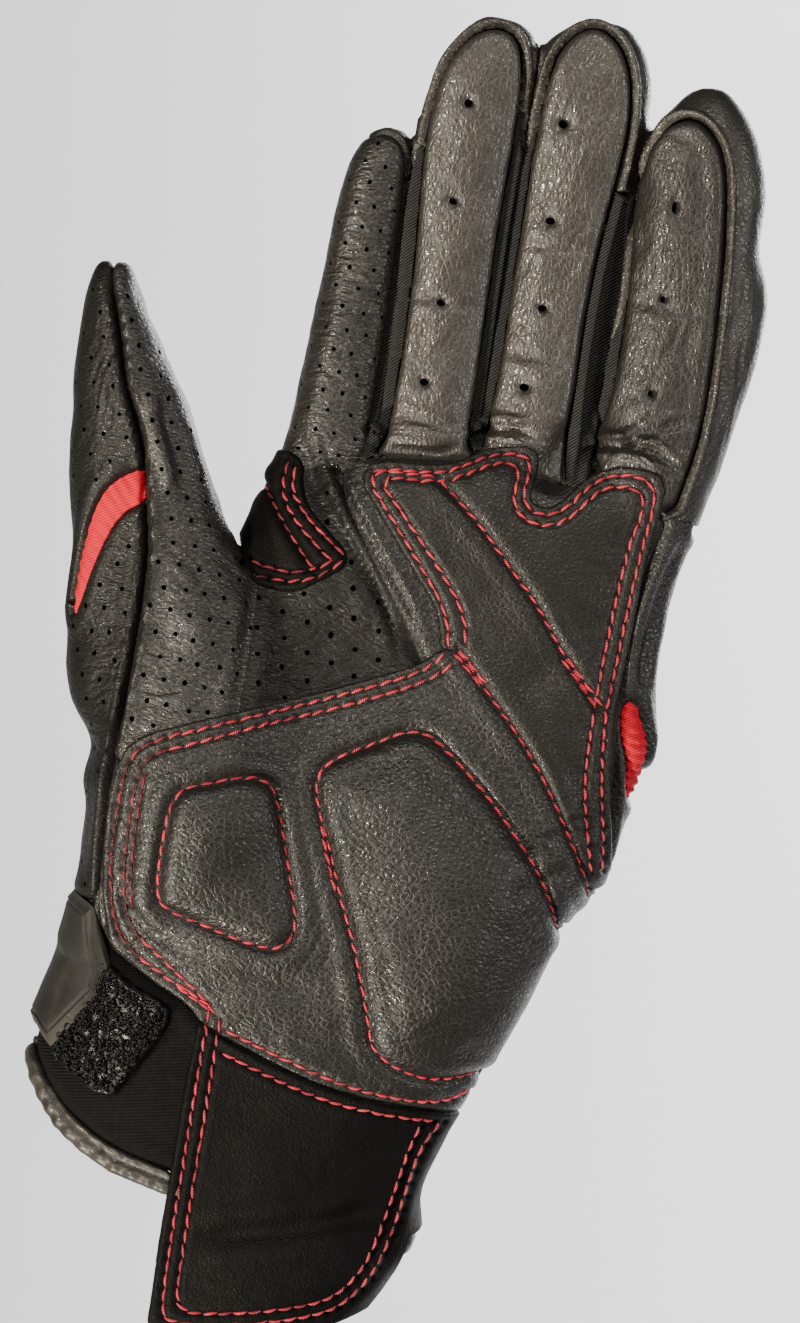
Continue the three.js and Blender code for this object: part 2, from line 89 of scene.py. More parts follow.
# Sections, close to those of the solids: z, left edge, right edge, front depth, back depth, middle in Y
HAND = np.array([
    (-24, -29, 10, 17, 17, 0), (4, -44, 17.2, 18.5, 19.5, 0), (12, -48, 22.6, 19, 19.6, 0),
    (20, -51, 20.4, 19.2, 20, 0), (32, -56.4, 23.8, 19.6, 20, 0), (45, -54, 29, 20, 19.5, 0),
    (60, -50.4, 34.6, 20.5, 18.5, 0), (70, -49, 38.2, 20.2, 17.8, 0), (77, -48.4, 41, 19.8, 17.5, 0),
    (84, -46.8, 46.4, 19, 17.2, 0), (90, -45, 48.9, 18, 17, 0), (105, -40.5, 51.3, 16, 16.6, 0),
    (112, -38.4, 54, 15.4, 16.5, 0), (119, -35.6, 52.6, 14.8, 16, 0), (130, -33.4, 51.4, 14, 15.5, 0),
    (138, -32.3, 51.8, 13.8, 15, 0), (145, -30.4, 52.4, 13.5, 14.5, 0), (157, -26, 54.5, 11.5, 12.5, 0),
    (164, -21.5, 52, 7, 7.5, 0)])
THUMB = np.array([
    (58, -50.8, -22, 11, 8, -4), (72, -52.6, -18, 16, 11, -5), (85.5, -53, -14, 18, 13, -6),
    (90.5, -55, -13.4, 17.6, 13.2, -6), (95.5, -53.8, -13, 17, 13.5, -6), (104, -59.3, -12, 15.5, 14, -6),
    (110, -61.1, -14, 14.4, 13.9, -6.2), (117, -61.9, -17.6, 13.4, 13.6, -6.4),
    (123, -63, -21, 13, 13.4, -6.6), (132, -63, -28.5, 12, 12.5, -7), (145, -65.5, -36.5, 11.5, 11.5, -8),
    (160, -67.3, -43.7, 10.5, 10, -9.5), (172, -67.6, -51.6, 8.5, 8, -11),
    (181, -67.5, -56.9, 6.6, 6, -12.5), (187, -66, -60, 3.4, 3.2, -13.5)])
FINGERS = {
    "index": np.array([
        (128, -25, -11.5, 7, 8, 0), (150, -29, -11.4, 9, 9.5, 1), (157, -26.9, -11.5, 9, 9.5, 1.2),
        (165, -25.8, -11.6, 9, 9.5, 1.3), (180, -24.8, -11.6, 8.7, 9, 1), (195, -24, -11.7, 8.3, 8.5, 0),
        (207, -23.4, -11.8, 8, 8, -1.5), (214, -22.4, -11.9, 6.8, 7, -3), (219, -20.2, -12.2, 5, 5, -4),
        (221.6, -17.4, -13.6, 2.6, 2.6, -4.5)]),
    "middle": np.array([
        (128, -7, 8, 8, 8, 0), (152, -8.6, 8.7, 9.5, 9.5, 0.5), (188, -8.6, 8.7, 9.2, 9.2, 0),
        (206, -9.2, 8.7, 9, 9, -1.5), (222, -10.3, 8.7, 8.6, 8.6, -3.5), (235, -8.6, 8.6, 7.4, 7.4, -5.5),
        (242, -4.8, 7.8, 5, 5, -7), (245.3, -1.2, 5.6, 2.4, 2.4, -7.5)]),
    "ring": np.array([
        (128, 12, 30, 8, 8, 0), (152, 11.3, 31, 9.5, 9.5, 0.5), (188, 11.3, 31.2, 9.2, 9.4, 0.5),
        (206, 11.3, 31, 9, 9.2, -1), (223, 11.3, 31.8, 8.8, 8.8, -3), (236, 11.7, 32.4, 7.6, 7.6, -5),
        (244, 13.6, 29.4, 5, 5, -6.5), (247.9, 17.4, 25.4, 2.4, 2.4, -7.5)]),
    "little": np.array([
        (126, 34, 48, 8, 8, -1), (148, 34, 53, 9.5, 10, -1), (164, 33.9, 56.2, 9.8, 10, -1.2),
        (178, 33.9, 58.6, 9.7, 10, -2), (190, 33.8, 60.5, 9.6, 10, -2.5), (199, 33.8, 60.8, 9.4, 9.8, -3.2),
        (204, 33.7, 59.6, 9.2, 9.6, -3.8), (210, 33.7, 57.2, 9, 9.4, -4.6), (219, 33.7, 57, 8.4, 9, -6),
        (228, 34.6, 54.6, 7.4, 8, -7.5), (235, 38.2, 50, 5, 5.4, -8.5), (238, 41, 46.2, 2.4, 2.6, -9)]),
}
FULLNESS = 2.44
SIDE_STRIP = 4.2
Z, LEFT, RIGHT, FRONT, BACK, MIDDLE = range(6)

# Where neighbouring fingers lie against each other, as points (x, z) from the crotch up and past the tips
INDEX_MIDDLE = [(-9, 159), (-9.6, 190), (-10.6, 212), (-11, 221), (-11, 260)]
MIDDLE_RING = [(10, 161), (10, 260)]
RING_LITTLE = [(32.4, 159), (32.5, 200), (32.6, 222), (33.9, 230), (34.2, 260)]
TOUCHING = [("index", "middle", INDEX_MIDDLE, 221), ("middle", "ring", MIDDLE_RING, 243),
            ("ring", "little", RING_LITTLE, 230)]
FINGER_FOOT = 158
FINGER_GROWTH = 0.45


class Skin:
    """A triangle mesh in millimetres: points, faces and the outward normal of the form at each point."""

    def __init__(self, points, faces, normals=None):
        self.points = points
        self.faces = faces
        self.normals = point_normals(points, faces) if normals is None else normals

    @property
    def plan(self):
        return self.points[:, [0, 2]]


def face_normals(points, faces):
    """The outward normal of each triangle, twice as long as its area."""
    corner = points[faces]
    return np.cross(corner[:, 1] - corner[:, 0], corner[:, 2] - corner[:, 0])


def point_normals(points, faces):
    across = face_normals(points, faces)
    total = np.zeros_like(points)
    for axis in range(3):
        for k in range(3):
            total[:, axis] += np.bincount(faces[:, k], across[:, axis], len(points))
    return total / np.maximum(np.linalg.norm(total, axis=1, keepdims=True), 1e-9)


def search_tree(points):
    tree = KDTree(len(points))
    for i, point in enumerate(points):
        tree.insert(point, i)
    tree.balance()
    return tree


def triangle_sides(faces):
    return np.concatenate([faces[:, [0, 1]], faces[:, [1, 2]], faces[:, [2, 0]]])


def edge_list(faces):
    return np.unique(np.sort(triangle_sides(faces), axis=1), axis=0)


def relaxed(points, edges, rounds):
    """Points moved towards the mean of their neighbours, a number of times."""
    ends = np.concatenate([edges[:, 0], edges[:, 1]])
    others = np.concatenate([edges[:, 1], edges[:, 0]])
    degree = np.bincount(ends, minlength=len(points)).astype(float)[:, None]
    for _ in range(rounds):
        total = np.stack([np.bincount(ends, points[others, axis], len(points)) for axis in range(3)], axis=1)
        points = points + 0.5 * (total / np.maximum(degree, 1) - points)
    return points


def smooth_rows(rows, step):
    """The rows of a section table, with rows between them on a curve that never overshoots."""
    height = rows[:, 0]
    rise = np.diff(rows, axis=0) / np.diff(height)[:, None]
    slope = np.zeros_like(rows)
    before, after = rise[:-1], rise[1:]
    same_way = before * after > 0
    slope[1:-1] = np.where(same_way, 2 * before * after / np.where(same_way, before + after, 1), 0)
    slope[0], slope[-1] = rise[0], rise[-1]
    levels = np.linspace(height[0], height[-1], int((height[-1] - height[0]) / step) + 2)
    k = np.clip(np.searchsorted(height, levels, side="right") - 1, 0, len(height) - 2)
    span = (height[k + 1] - height[k])[:, None]
    t = ((levels - height[k])[:, None]) / span
    return ((2 * t**3 - 3 * t**2 + 1) * rows[k] + (t**3 - 2 * t**2 + t) * span * slope[k]
            + (3 * t**2 - 2 * t**3) * rows[k + 1] + (t**3 - t**2) * span * slope[k + 1])


def column(rows, name, heights):
    return np.interp(heights, rows[:, Z], rows[:, name])


def centre_of(rows, heights):
    return (column(rows, LEFT, heights) + column(rows, RIGHT, heights)) / 2


def eased(value):
    """A smooth rise from 0 to 1."""
    t = np.clip(value, 0, 1)
    return t * t * (3 - 2 * t)


def bell(distance, width):
    return np.exp(-(distance / width) ** 2)


def loft(rows, sides):
    """A closed form through oval sections."""
    fine = smooth_rows(rows, 2.0)
    angle = 2 * np.pi * np.arange(sides) / sides
    c, s = np.cos(angle)[None, :], np.sin(angle)[None, :]
    half = (fine[:, RIGHT] - fine[:, LEFT])[:, None] / 2
    centre = (fine[:, RIGHT] + fine[:, LEFT])[:, None] / 2
    depth = np.where(s < 0, fine[:, FRONT][:, None], fine[:, BACK][:, None])
    radius = (np.abs(c / half) ** FULLNESS + np.abs(s / depth) ** FULLNESS) ** (-1 / FULLNESS)
    x = centre + radius * c
    y = fine[:, MIDDLE][:, None] + radius * s
    z = np.repeat(fine[:, Z][:, None], sides, axis=1)
    points = np.stack([x, y, z], axis=-1).reshape(-1, 3)
    levels = len(fine)
    i = np.arange(sides)
    j = (i + 1) % sides
    faces = []
    for level in range(levels - 1):
        low, high = level * sides, (level + 1) * sides
        faces.append(np.stack([low + i, low + j, high + j], axis=1))
        faces.append(np.stack([low + i, high + j, high + i], axis=1))
    foot, head = len(points), len(points) + 1
    points = np.concatenate([points, [points[:sides].mean(0)], [points[-sides:].mean(0)]])
    faces.append(np.stack([np.full(sides, foot), j, i], axis=1))
    top = (levels - 1) * sides
    faces.append(np.stack([np.full(sides, head), top + i, top + j], axis=1))
    return points, np.concatenate(faces)


def mesh_from(name, points, faces):
    mesh = bpy.data.meshes.new(name)
    mesh.from_pydata(points * MM, [], faces)
    mesh.update()
    return mesh


def points_of(mesh):
    points = np.empty(len(mesh.vertices) * 3)
    mesh.vertices.foreach_get("co", points)
    return points.reshape(-1, 3) / MM


def joined_form():
    """The lofts of hand, thumb and fingers grown together into one even skin."""
    all_points, all_faces, count = [], [], 0
    for rows, sides in [(HAND, 96), (THUMB, 64)] + [(rows, 48) for rows in FINGERS.values()]:
        points, faces = loft(rows, sides)
        all_points.append(points)
        all_faces.append(faces + count)
        count += len(points)
    holder = placed_object("form", mesh_from("form", np.concatenate(all_points), np.concatenate(all_faces)))
    remesh = holder.modifiers.new("remesh", "REMESH")
    remesh.mode = "VOXEL"
    remesh.voxel_size = VOXEL * MM
    triangles = holder.modifiers.new("triangles", "TRIANGULATE")
    triangles.quad_method = "SHORTEST_DIAGONAL"
    evaluated = holder.evaluated_get(bpy.context.evaluated_depsgraph_get())
    result = bpy.data.meshes.new_from_object(evaluated)
    points = points_of(result)
    faces = np.empty(len(result.polygons) * 3, int)
    result.polygons.foreach_get("vertices", faces)
    faces = faces.reshape(-1, 3)
    bpy.data.objects.remove(holder)
    bpy.data.meshes.remove(result)
    points = relaxed(points, edge_list(faces), 10)
    return Skin(points, faces)


def filled_fingers(skin):
    """Widens the fingers until each lies against its neighbour. The joined form keeps them apart."""
    z = skin.points[:, 2]
    skin.points = skin.points + skin.normals * (FINGER_GROWTH * eased((z - FINGER_FOOT) / 8))[:, None]
    x = skin.points[:, 0]
    for left, right, line, tip in TOUCHING:
        line = np.array(line)
        wall = np.interp(z, line[:, 1], line[:, 0])
        amount = eased((z - FINGER_FOOT - 2) / 6) * eased((tip + 4 - z) / 8)
        for name, edge, side in ((left, RIGHT, 1), (right, LEFT, -1)):
            rows = FINGERS[name]
            centre = centre_of(rows, z)
            here = (side * (x - centre) > 0) & (side * (wall - x) > -0.5) & (amount > 0)
            reach = np.maximum(side * (column(rows, edge, z) - centre) + FINGER_GROWTH, 2)
            stretch = np.clip(side * (wall - centre) / reach, 1, 1.4)
            moved = centre + (x - centre) * (1 + (stretch - 1) * amount)
            moved = side * np.minimum(side * moved, side * wall - 0.04)
            x = np.where(here, moved, x)
    skin.points[:, 0] = x
    skin.normals = point_normals(skin.points, skin.faces)
    return skin


def softened(points, rounds=2, closed=True):
    """A path with its corners cut off a few times, so that it bends as sewn leather does."""
    path = np.array(points, float)
    for _ in range(rounds):
        following = np.roll(path, -1, axis=0)
        near = 0.75 * path + 0.25 * following
        far = 0.25 * path + 0.75 * following
        cut = np.stack([near, far], axis=1).reshape(-1, 2)
        if not closed:
            cut = np.concatenate([path[:1], cut[1:-3], path[-1:]])
        path = cut
    return path


def path_distance(plan, path, closed=False):
    """Distance of each point to a path, and how far along the path its nearest point lies."""
    start = path if closed else path[:-1]
    end = np.roll(path, -1, axis=0) if closed else path[1:]
    along = end - start
    length = np.linalg.norm(along, axis=1)
    before = np.concatenate([[0], np.cumsum(length)[:-1]])
    best = np.full(len(plan), 1e9)
    place = np.zeros(len(plan))
    for a, d, size, offset in zip(start, along, length, before):
        t = np.clip(((plan - a) @ d) / max(size * size, 1e-9), 0, 1)
        gap = np.hypot(plan[:, 0] - a[0] - t * d[0], plan[:, 1] - a[1] - t * d[1])
        closer = gap < best
        best[closer] = gap[closer]
        place[closer] = offset + t[closer] * size
    return best, place


def inside_outline(plan, path):
    inside = np.zeros(len(plan), bool)
    following = np.roll(path, -1, axis=0)
    for a, b in zip(path, following):
        crosses = (a[1] > plan[:, 1]) != (b[1] > plan[:, 1])
        if crosses.any():
            at = a[0] + (plan[:, 1] - a[1]) * (b[0] - a[0]) / (b[1] - a[1])
            inside ^= crosses & (plan[:, 0] < at)
    return inside


def outline_field(plan, path):
    """Distance to a closed outline, over zero inside it. Points far outside get minus the reach."""
    low, high = path.min(0) - FIELD_REACH, path.max(0) + FIELD_REACH
    near = ((plan > low) & (plan < high)).all(axis=1)
    field = np.full(len(plan), -FIELD_REACH)
    some = plan[near]
    distance, _ = path_distance(some, path, closed=True)
    field[near] = np.where(inside_outline(some, path), distance, -distance)
    return field


def compacted(points, faces, normals):
    used = np.unique(faces)
    index = np.full(len(points), -1)
    index[used] = np.arange(len(used))
    return Skin(points[used], index[faces], normals[used])


def split(skin, field):
    """Cuts a skin along the line where the field is zero; gives the part over zero and the rest."""
    value = np.where(np.abs(field) < 1e-6, 1e-6, field)
    over = value > 0
    flags = over[skin.faces]
    count = flags.sum(axis=1)
    crossing = (count == 1) | (count == 2)
    triangles, marks = skin.faces[crossing], flags[crossing]
    lone_over = count[crossing] == 1
    odd = np.where(lone_over, marks.argmax(axis=1), (~marks).argmax(axis=1))
    row = np.arange(len(triangles))
    a = triangles[row, odd]
    b = triangles[row, (odd + 1) % 3]
    c = triangles[row, (odd + 2) % 3]
    pairs = np.sort(np.concatenate([np.stack([a, b], 1), np.stack([a, c], 1)]), axis=1)
    edges, where = np.unique(pairs, axis=0, return_inverse=True)
    where = where.reshape(-1)
    p, q = edges[:, 0], edges[:, 1]
    t = np.clip(value[p] / (value[p] - value[q]), 0.08, 0.92)[:, None]
    points = np.concatenate([skin.points, skin.points[p] * (1 - t) + skin.points[q] * t])
    normals = np.concatenate([skin.normals, skin.normals[p] * (1 - t) + skin.normals[q] * t])
    fresh = len(skin.points) + where
    ab, ac = fresh[:len(row)], fresh[len(row):]
    tip = np.stack([a, ab, ac], 1)
    rest_near = np.stack([ab, b, c], 1)
    rest_far = np.stack([ab, c, ac], 1)
    over_faces = [skin.faces[count == 3], tip[lone_over], rest_near[~lone_over], rest_far[~lone_over]]
    under_faces = [skin.faces[count == 0], tip[~lone_over], rest_near[lone_over], rest_far[lone_over]]
    return (compacted(points, np.concatenate(over_faces), normals),
            compacted(points, np.concatenate(under_faces), normals))


def refined(skin, coarse=None):
    """Each triangle cut into four, except the coarse ones, which are only halved beside a cut one."""
    count = len(skin.points)
    following = np.roll(skin.faces, -1, axis=1)
    sides = np.minimum(skin.faces, following).astype(np.int64) * count + np.maximum(skin.faces, following)
    quartered = np.ones(len(skin.faces), bool) if coarse is None else ~coarse
    settled = False
    while not settled:
        cut = np.isin(sides, sides[quartered])
        more = quartered | (cut.sum(axis=1) > 1)
        settled = (more == quartered).all()
        quartered = more
    keys = np.unique(sides[quartered])
    middles = count + np.searchsorted(keys, sides)
    a, b, c = skin.faces[quartered].T
    ab, bc, ca = middles[quartered].T
    faces = [np.stack(t, 1) for t in ((a, ab, ca), (ab, b, bc), (ca, bc, c), (ab, bc, ca))]
    for side in range(3):
        chosen = cut[:, side] & ~quartered
        a, b, c = np.roll(skin.faces[chosen], -side, axis=1).T
        half = middles[chosen, side]
        faces += [np.stack((a, half, c), 1), np.stack((half, b, c), 1)]
    faces.append(skin.faces[~cut.any(axis=1)])
    edges = np.stack([keys // count, keys % count], 1)
    points = np.concatenate([skin.points, skin.points[edges].mean(axis=1)])
    normals = np.concatenate([skin.normals, skin.normals[edges].mean(axis=1)])
    normals /= np.maximum(np.linalg.norm(normals, axis=1, keepdims=True), 1e-9)
    return Skin(points, np.concatenate(faces), normals)


def border_edges(faces):
    pairs = triangle_sides(faces)
    ordered = np.sort(pairs, axis=1)
    _, index, count = np.unique(ordered, axis=0, return_index=True, return_counts=True)
    return pairs[index[count == 1]]


def border_distance(skin, left_out=()):
    """Distance of each point of a skin to its border, without the parts of it along the paths left out."""
    ends = skin.points[border_edges(skin.faces)]
    marks = np.concatenate([ends[:, 0], ends.mean(axis=1)])
    for path, closed in left_out:
        distance, _ = path_distance(marks[:, [0, 2]], path, closed)
        marks = marks[distance > ALONG_PATH]
    if not len(marks):
        return np.full(len(skin.points), FAR_FROM_BORDER)
    tree = search_tree(marks)
    return np.array([tree.find(point)[2] for point in skin.points])


def shell(skin, inner):
    """A closed wall between the skin and inner points that belong to its points."""
    count = len(skin.points)
    a, b = border_edges(skin.faces).T
    faces = np.concatenate([skin.faces, skin.faces[:, ::-1] + count,
                            np.stack([b, a, a + count], 1), np.stack([b, a + count, b + count], 1)])
    return np.concatenate([skin.points, inner]), faces


def thickened(skin, wall):
    return shell(skin, skin.points - point_normals(skin.points, skin.faces) * wall)


def raised_shell(skin, height, floor):
    """Lifts the skin and closes it with a floor this far under the place that it had."""
    inner = skin.points - skin.normals * floor
    skin.points = skin.points + skin.normals * height[:, None]
    return shell(skin, inner)


# Where the fingers part from each other, and the outlines of their front panels
CELLS = {
    "index": [(-40, 152), (-31, 152), (-14, 157)] + INDEX_MIDDLE + [(-40, 260)],
    "middle": INDEX_MIDDLE + MIDDLE_RING[::-1],
    "ring": MIDDLE_RING + RING_LITTLE[::-1],
    "little": RING_LITTLE + [(70, 260), (70, 156), (50, 156)],
}
FRONTS = {
    "index": [(-40, 152), (-31, 152), (-14, 157), (-10.9, 160), (-11.2, 190), (-11.3, 205), (-11.8, 213),
              (-13, 218), (-15.4, 219.8), (-18, 219.7), (-20.6, 218.6), (-24, 215), (-40, 214)],
    "middle": [(-9, 159), (-7.4, 163), (-6.9, 172), (-6.8, 185), (-7.4, 200), (-8.4, 212), (-8.8, 222),
               (-8, 231), (-6, 237.5), (-2.2, 242), (2.2, 243.4), (5.6, 241.6), (7.4, 237), (7.9, 230),
               (7.8, 220), (7.6, 205), (7.8, 190), (8, 175), (8.2, 165), (10, 161)],
    "ring": [(10, 161), (11.6, 167), (12.2, 180), (12, 195), (12, 210), (12, 224), (12.4, 236), (14.8, 243),
             (18.5, 246.2), (22, 246), (25.5, 243), (28, 237.5), (29.2, 230), (29, 222), (28, 213),
             (26.8, 203), (26.4, 190), (26.6, 176), (26.8, 168), (27, 162), (27.4, 159.6)],
    "little": [(30.6, 159.2), (31.6, 165), (33.6, 173), (34.4, 183), (34.4, 193), (34, 201), (33.6, 208),
               (33.2, 215), (33.4, 222), (34.6, 227), (37, 230.4), (40, 231.4), (43, 230.4), (46.6, 226.6),
               (48.8, 220), (50.2, 210), (50.9, 200), (51.4, 190), (51.7, 180), (51.4, 171), (50, 163),
               (48.6, 156.4)],
}

# The fronts are cut this much wider than they look, because their edges turn in
FRONT_TURN = 0.7

# Where the finger panels join the hand without a seam that shows
FINGER_ROOTS = [(-40, 152), (-31, 152), (-14, 157), (-9, 159), (10, 161), (32.4, 159), (50, 156), (70, 156)]

# Seams and outlines as seen from the palm side, each point (x, z)
THUMB_SEAM = [(-64, 200), (-63.6, 186), (-59.4, 173), (-57, 164), (-52, 154), (-50, 143), (-48, 133),
              (-47.8, 118), (-48.4, 100), (-48.8, 88), (-47, 70), (-44, 60)]
THUMB_CROTCH = [(-26.5, 103), (-26.5, 132), (-29, 134.2), (-32.4, 139), (-34.2, 145), (-37, 160), (-50, 200)]
RED_TOP = [(-50, 150.4), (-57.4, 146), (-60, 140), (-61.2, 133), (-61.6, 127), (-61.4, 121)]
RED_FOOT = [(-49.6, 143.6), (-53.7, 141.3), (-56.5, 136.7), (-58.4, 131), (-59.6, 124.4), (-60.8, 119.6)]
SIDE_INSERT = [(45.4, 119.8), (46.4, 113.7), (48.8, 109), (49.6, 102), (51.2, 102.5), (52, 108), (52, 113),
               (49.8, 117.4), (47.8, 121)]
ULNAR_SEAM = [(46, 147), (44, 137), (44, 125), (46, 108), (47, 95), (47.5, 88), (41, 80)]
WEB_EDGE = [(-14.4, 157), (-14, 151), (-8, 142), (0, 131), (7, 120.5)]
PALM_TOP = [(-9, 159), (10, 161), (32.4, 159), (48.8, 158.5)]
PATCH_LINE = [(6.4, 118), (-6.6, 112), (-20, 106.4), (-26.5, 103.6), (-36.6, 99), (-49.5, 93.4)]
HEEL_EDGE = [(-49.5, 66), (-46.3, 61.5), (-43.6, 58.6), (-38.5, 56.2), (-31.5, 52.6), (-27.5, 51.6),
             (-22, 46.5)]
CUFF_SEAM = [(-19.6, 44), (-8.5, 40.4), (1.5, 37.6), (11.6, 36.2), (22.7, 36), (60, 36)]
SLEEVE_FRONT = [(-72, 44), (-56.6, 34.6), (-55, 31.4), (-52.4, 28), (-48.5, 23.6), (-43, 20), (-37, 17.4),
                (-23.3, 14.5)]
SLEEVE_BACK = [(-72, 44), (-56.6, 34.6), (-55, 33), (-30, 22), (0, 9.5), (30, 0)]
BINDING_WIDTH = 4.4
FLAP_EDGE = 3
BACK_SEAM = [(-33, 139), (-34, 125), (-36.5, 100), (-42, 80), (-46, 64)]
CUFF_TOP = [(-60, 66), (-30, 60), (10, 56), (60, 52)]


def lifted(line, height):
    return [(x, z + height) for x, z in line]


def lifted_aside(line, shift):
    return [(x + shift, z) for x, z in line]


def between(line, low, high):
    return [(x, z) for x, z in line if low <= z <= high]


THUMB_FOLD = [(-27, 96)] + THUMB_CROTCH[:3]
RED_END = [(-61.3, 122.6), (-66, 120.3), (-80, 118)]
THUMB_INNER_TOP = between(THUMB_SEAM, 134, 200) + [(-48, 134)] + THUMB_CROTCH[2:]
THUMB_INNER_FOOT = (between(THUMB_SEAM, 94, 133) + PATCH_LINE[:2:-1] + THUMB_CROTCH[:3]
                    + [(-29.5, 135), (-48, 135)])
THUMB_INNER_JOIN = between(THUMB_SEAM, 110, 156) + [(-40, 154), (-40, 118)]
RED_INSERT = RED_TOP + RED_FOOT[::-1]
THUMB_TIP = between(THUMB_SEAM, 150.6, 200) + RED_TOP + [(-80, 118), (-80, 200)]
THUMB_BASE = RED_FOOT[::-1] + between(THUMB_SEAM, 66, 143) + [(-49.8, 66), (-80, 72), (-80, 126),
                                                              (-62.4, 124)]
THUMB_BACK = [(-50, 146)] + BACK_SEAM + [(-60, 68)]
WEB = THUMB_CROTCH[:5] + [(-40, 152), (-31, 152)] + WEB_EDGE + PATCH_LINE[:4]
PALM = (PALM_TOP + ULNAR_SEAM + [(60, 78)] + CUFF_SEAM[::-1] + HEEL_EDGE[::-1] + PATCH_LINE[::-1]
        + WEB_EDGE[::-1])
BINDING_FRONT = SLEEVE_FRONT + lifted(SLEEVE_FRONT, BINDING_WIDTH)[::-1]
BINDING_BACK = SLEEVE_BACK + lifted(SLEEVE_BACK, BINDING_WIDTH)[::-1]
BINDING_SIDE = [(-72, 44), (-56.6, 34.6), (-50, 31), (-50, 36), (-56.6, 39), (-72, 48.4)]
GUSSET = lifted(SLEEVE_FRONT, BINDING_WIDTH) + [(-19.6, 19), (-19.6, 45.4)] + HEEL_EDGE[::-1] + [(-72, 70)]
CUFF_BACK = lifted(SLEEVE_BACK, BINDING_WIDTH) + [(60, 0)] + CUFF_TOP[::-1] + [(-72, 66)]
HAND_BACK = [(-72, 66)] + CUFF_TOP + [(80, 52), (80, 164), (-72, 164)]

# Patches, pads, the flap and the strap
PALM_LINE = [(12.4, 125), (18.3, 119), (26, 111.2), (31.7, 104.4), (37.2, 96), (42.4, 87.4), (44.6, 83)]
UPPER_PATCH = ([(-11, 154.2), (-9, 158.4), (2.8, 159), (7.6, 160.6), (12.8, 164.4), (21.4, 165.8),
                (22.6, 161.7), (21.4, 156), (22.6, 154.6), (25.2, 154.2), (27.8, 156.2), (31.2, 161),
                (35.6, 164), (41, 164.8), (46.8, 163.4), (46.4, 155), (45.4, 150), (44.9, 136.7),
                (44.4, 127), (43.6, 116.7), (44.9, 104), (47, 94.4),
                (48, 87)] + PALM_LINE[::-1] + [(9, 124.6), (8.4, 129), (6.8, 133), (1.4, 139.2),
                                                           (-7, 149.4)])
LOWER_PATCH = ([(-47.4, 96), (-43, 100.4), (-36.6, 103), (-20, 109.8), (-6.6, 115.4), (6.2, 121.4),
                (9, 124.6)]
               + PALM_LINE + [(60, 83), (60, 38), (22.7, 38), (11.6, 38.3), (1.5, 39.6), (-8.5, 42.4),
                              (-19.6, 46.1), (-24, 48), (-27.5, 51.4), (-31.5, 53), (-38.5, 56.6),
                              (-43.6, 59.6), (-46.6, 65), (-47.6, 76)])
SADDLE_PATCH = [(-29.6, 132.2), (-26, 131), (-19.6, 131), (-15.4, 133.6), (-9.2, 138.8), (-18, 145.6),
                (-21.6, 149.8), (-22, 158), (-36, 158), (-33, 145), (-31.4, 138)]
THENAR_PAD = [(-36.2, 90.6), (-30.6, 92.8), (-22.8, 95.6), (-18.6, 95), (-16.9, 92.2), (-14.2, 84.4),
              (-10.6, 73.3), (-9.2, 67.8), (-11.7, 63.9), (-18.3, 64.4), (-27.2, 66.7), (-34.4, 68.3),
              (-36.3, 70.6), (-36.7, 77.8)]
HEEL_LINE = [(39.4, 75.6), (36, 83.3), (30.6, 90), (22.8, 98.3), (13.9, 105.6), (9.4, 108.7), (4.9, 108.3),
             (0.6, 105.6), (-6.7, 101.7), (-9.6, 98.9), (-10.2, 95.6), (-8.3, 90), (-5, 83.3), (-1.7, 74.4),
             (1.1, 69), (4.4, 60), (6.7, 53.3), (7.8, 48.9), (11.7, 45.6), (20.6, 43.5), (28.9, 46.2)]
HEEL_PAD = HEEL_LINE + [(62, 48), (62, 71)]
CUFF_TAB = [(-25.5, 49), (-22, 46.4), (-19.6, 45.4), (-8.5, 41.7), (1.5, 38.9), (11.6, 37.6), (22.7, 37.3),
            (60, 37.3), (60, 20), (21.2, 16), (17.6, 3.8), (13, -4), (-8, -9), (-24.4, -11.6), (-25.8, -8)]
STRAP_END = [(-52, 68.5), (-47.5, 66.5), (-42.6, 55.4), (-42.9, 50), (-50.6, 38.4), (-53.6, 41.4), (-70, 45),
             (-70, 72)]
TAB_RIDGE = [(-58, 66), (-50, 60), (-46.5, 53), (-49, 45), (-53, 39)]
HOOK_PATCH = [(-45, 57.5), (-38, 53.2), (-31, 50.9), (-30.2, 48.5), (-30.9, 44.4), (-35.6, 36),
              (-39.4, 30.2), (-49.6, 36.4), (-51, 38.8)]
STRAP_FRONT = [(-70, 71), (-52, 68), (-50.4, 66.8), (-51.8, 41), (-53, 42), (-70, 45)]
STRAP_BAND = [(-70, 71), (-52, 68), (-10, 60), (20, 56), (60, 54), (60, 30), (20, 30), (-10, 34),
              (-50, 41.5), (-53, 42), (-70, 45)]

# Rounded places: x, z, half width, half length, height
PALM_BULGES = [(-26, 80, 18, 24, 1.8), (24, 70, 17, 26, 1.8), (2, 124, 14, 14, -1.4), (0, 151, 11, 7, 0.8),
               (15, 158, 6, 5, 1.0), (39, 158, 8, 7, 1.2), (-37, 122, 8, 16, 1.0)]
BACK_BULGES = [(-18, 150, 9, 9, 1.4), (0, 153, 9, 9, 1.6), (21, 152, 9, 9, 1.5), (42, 146, 9, 9, 1.2)]

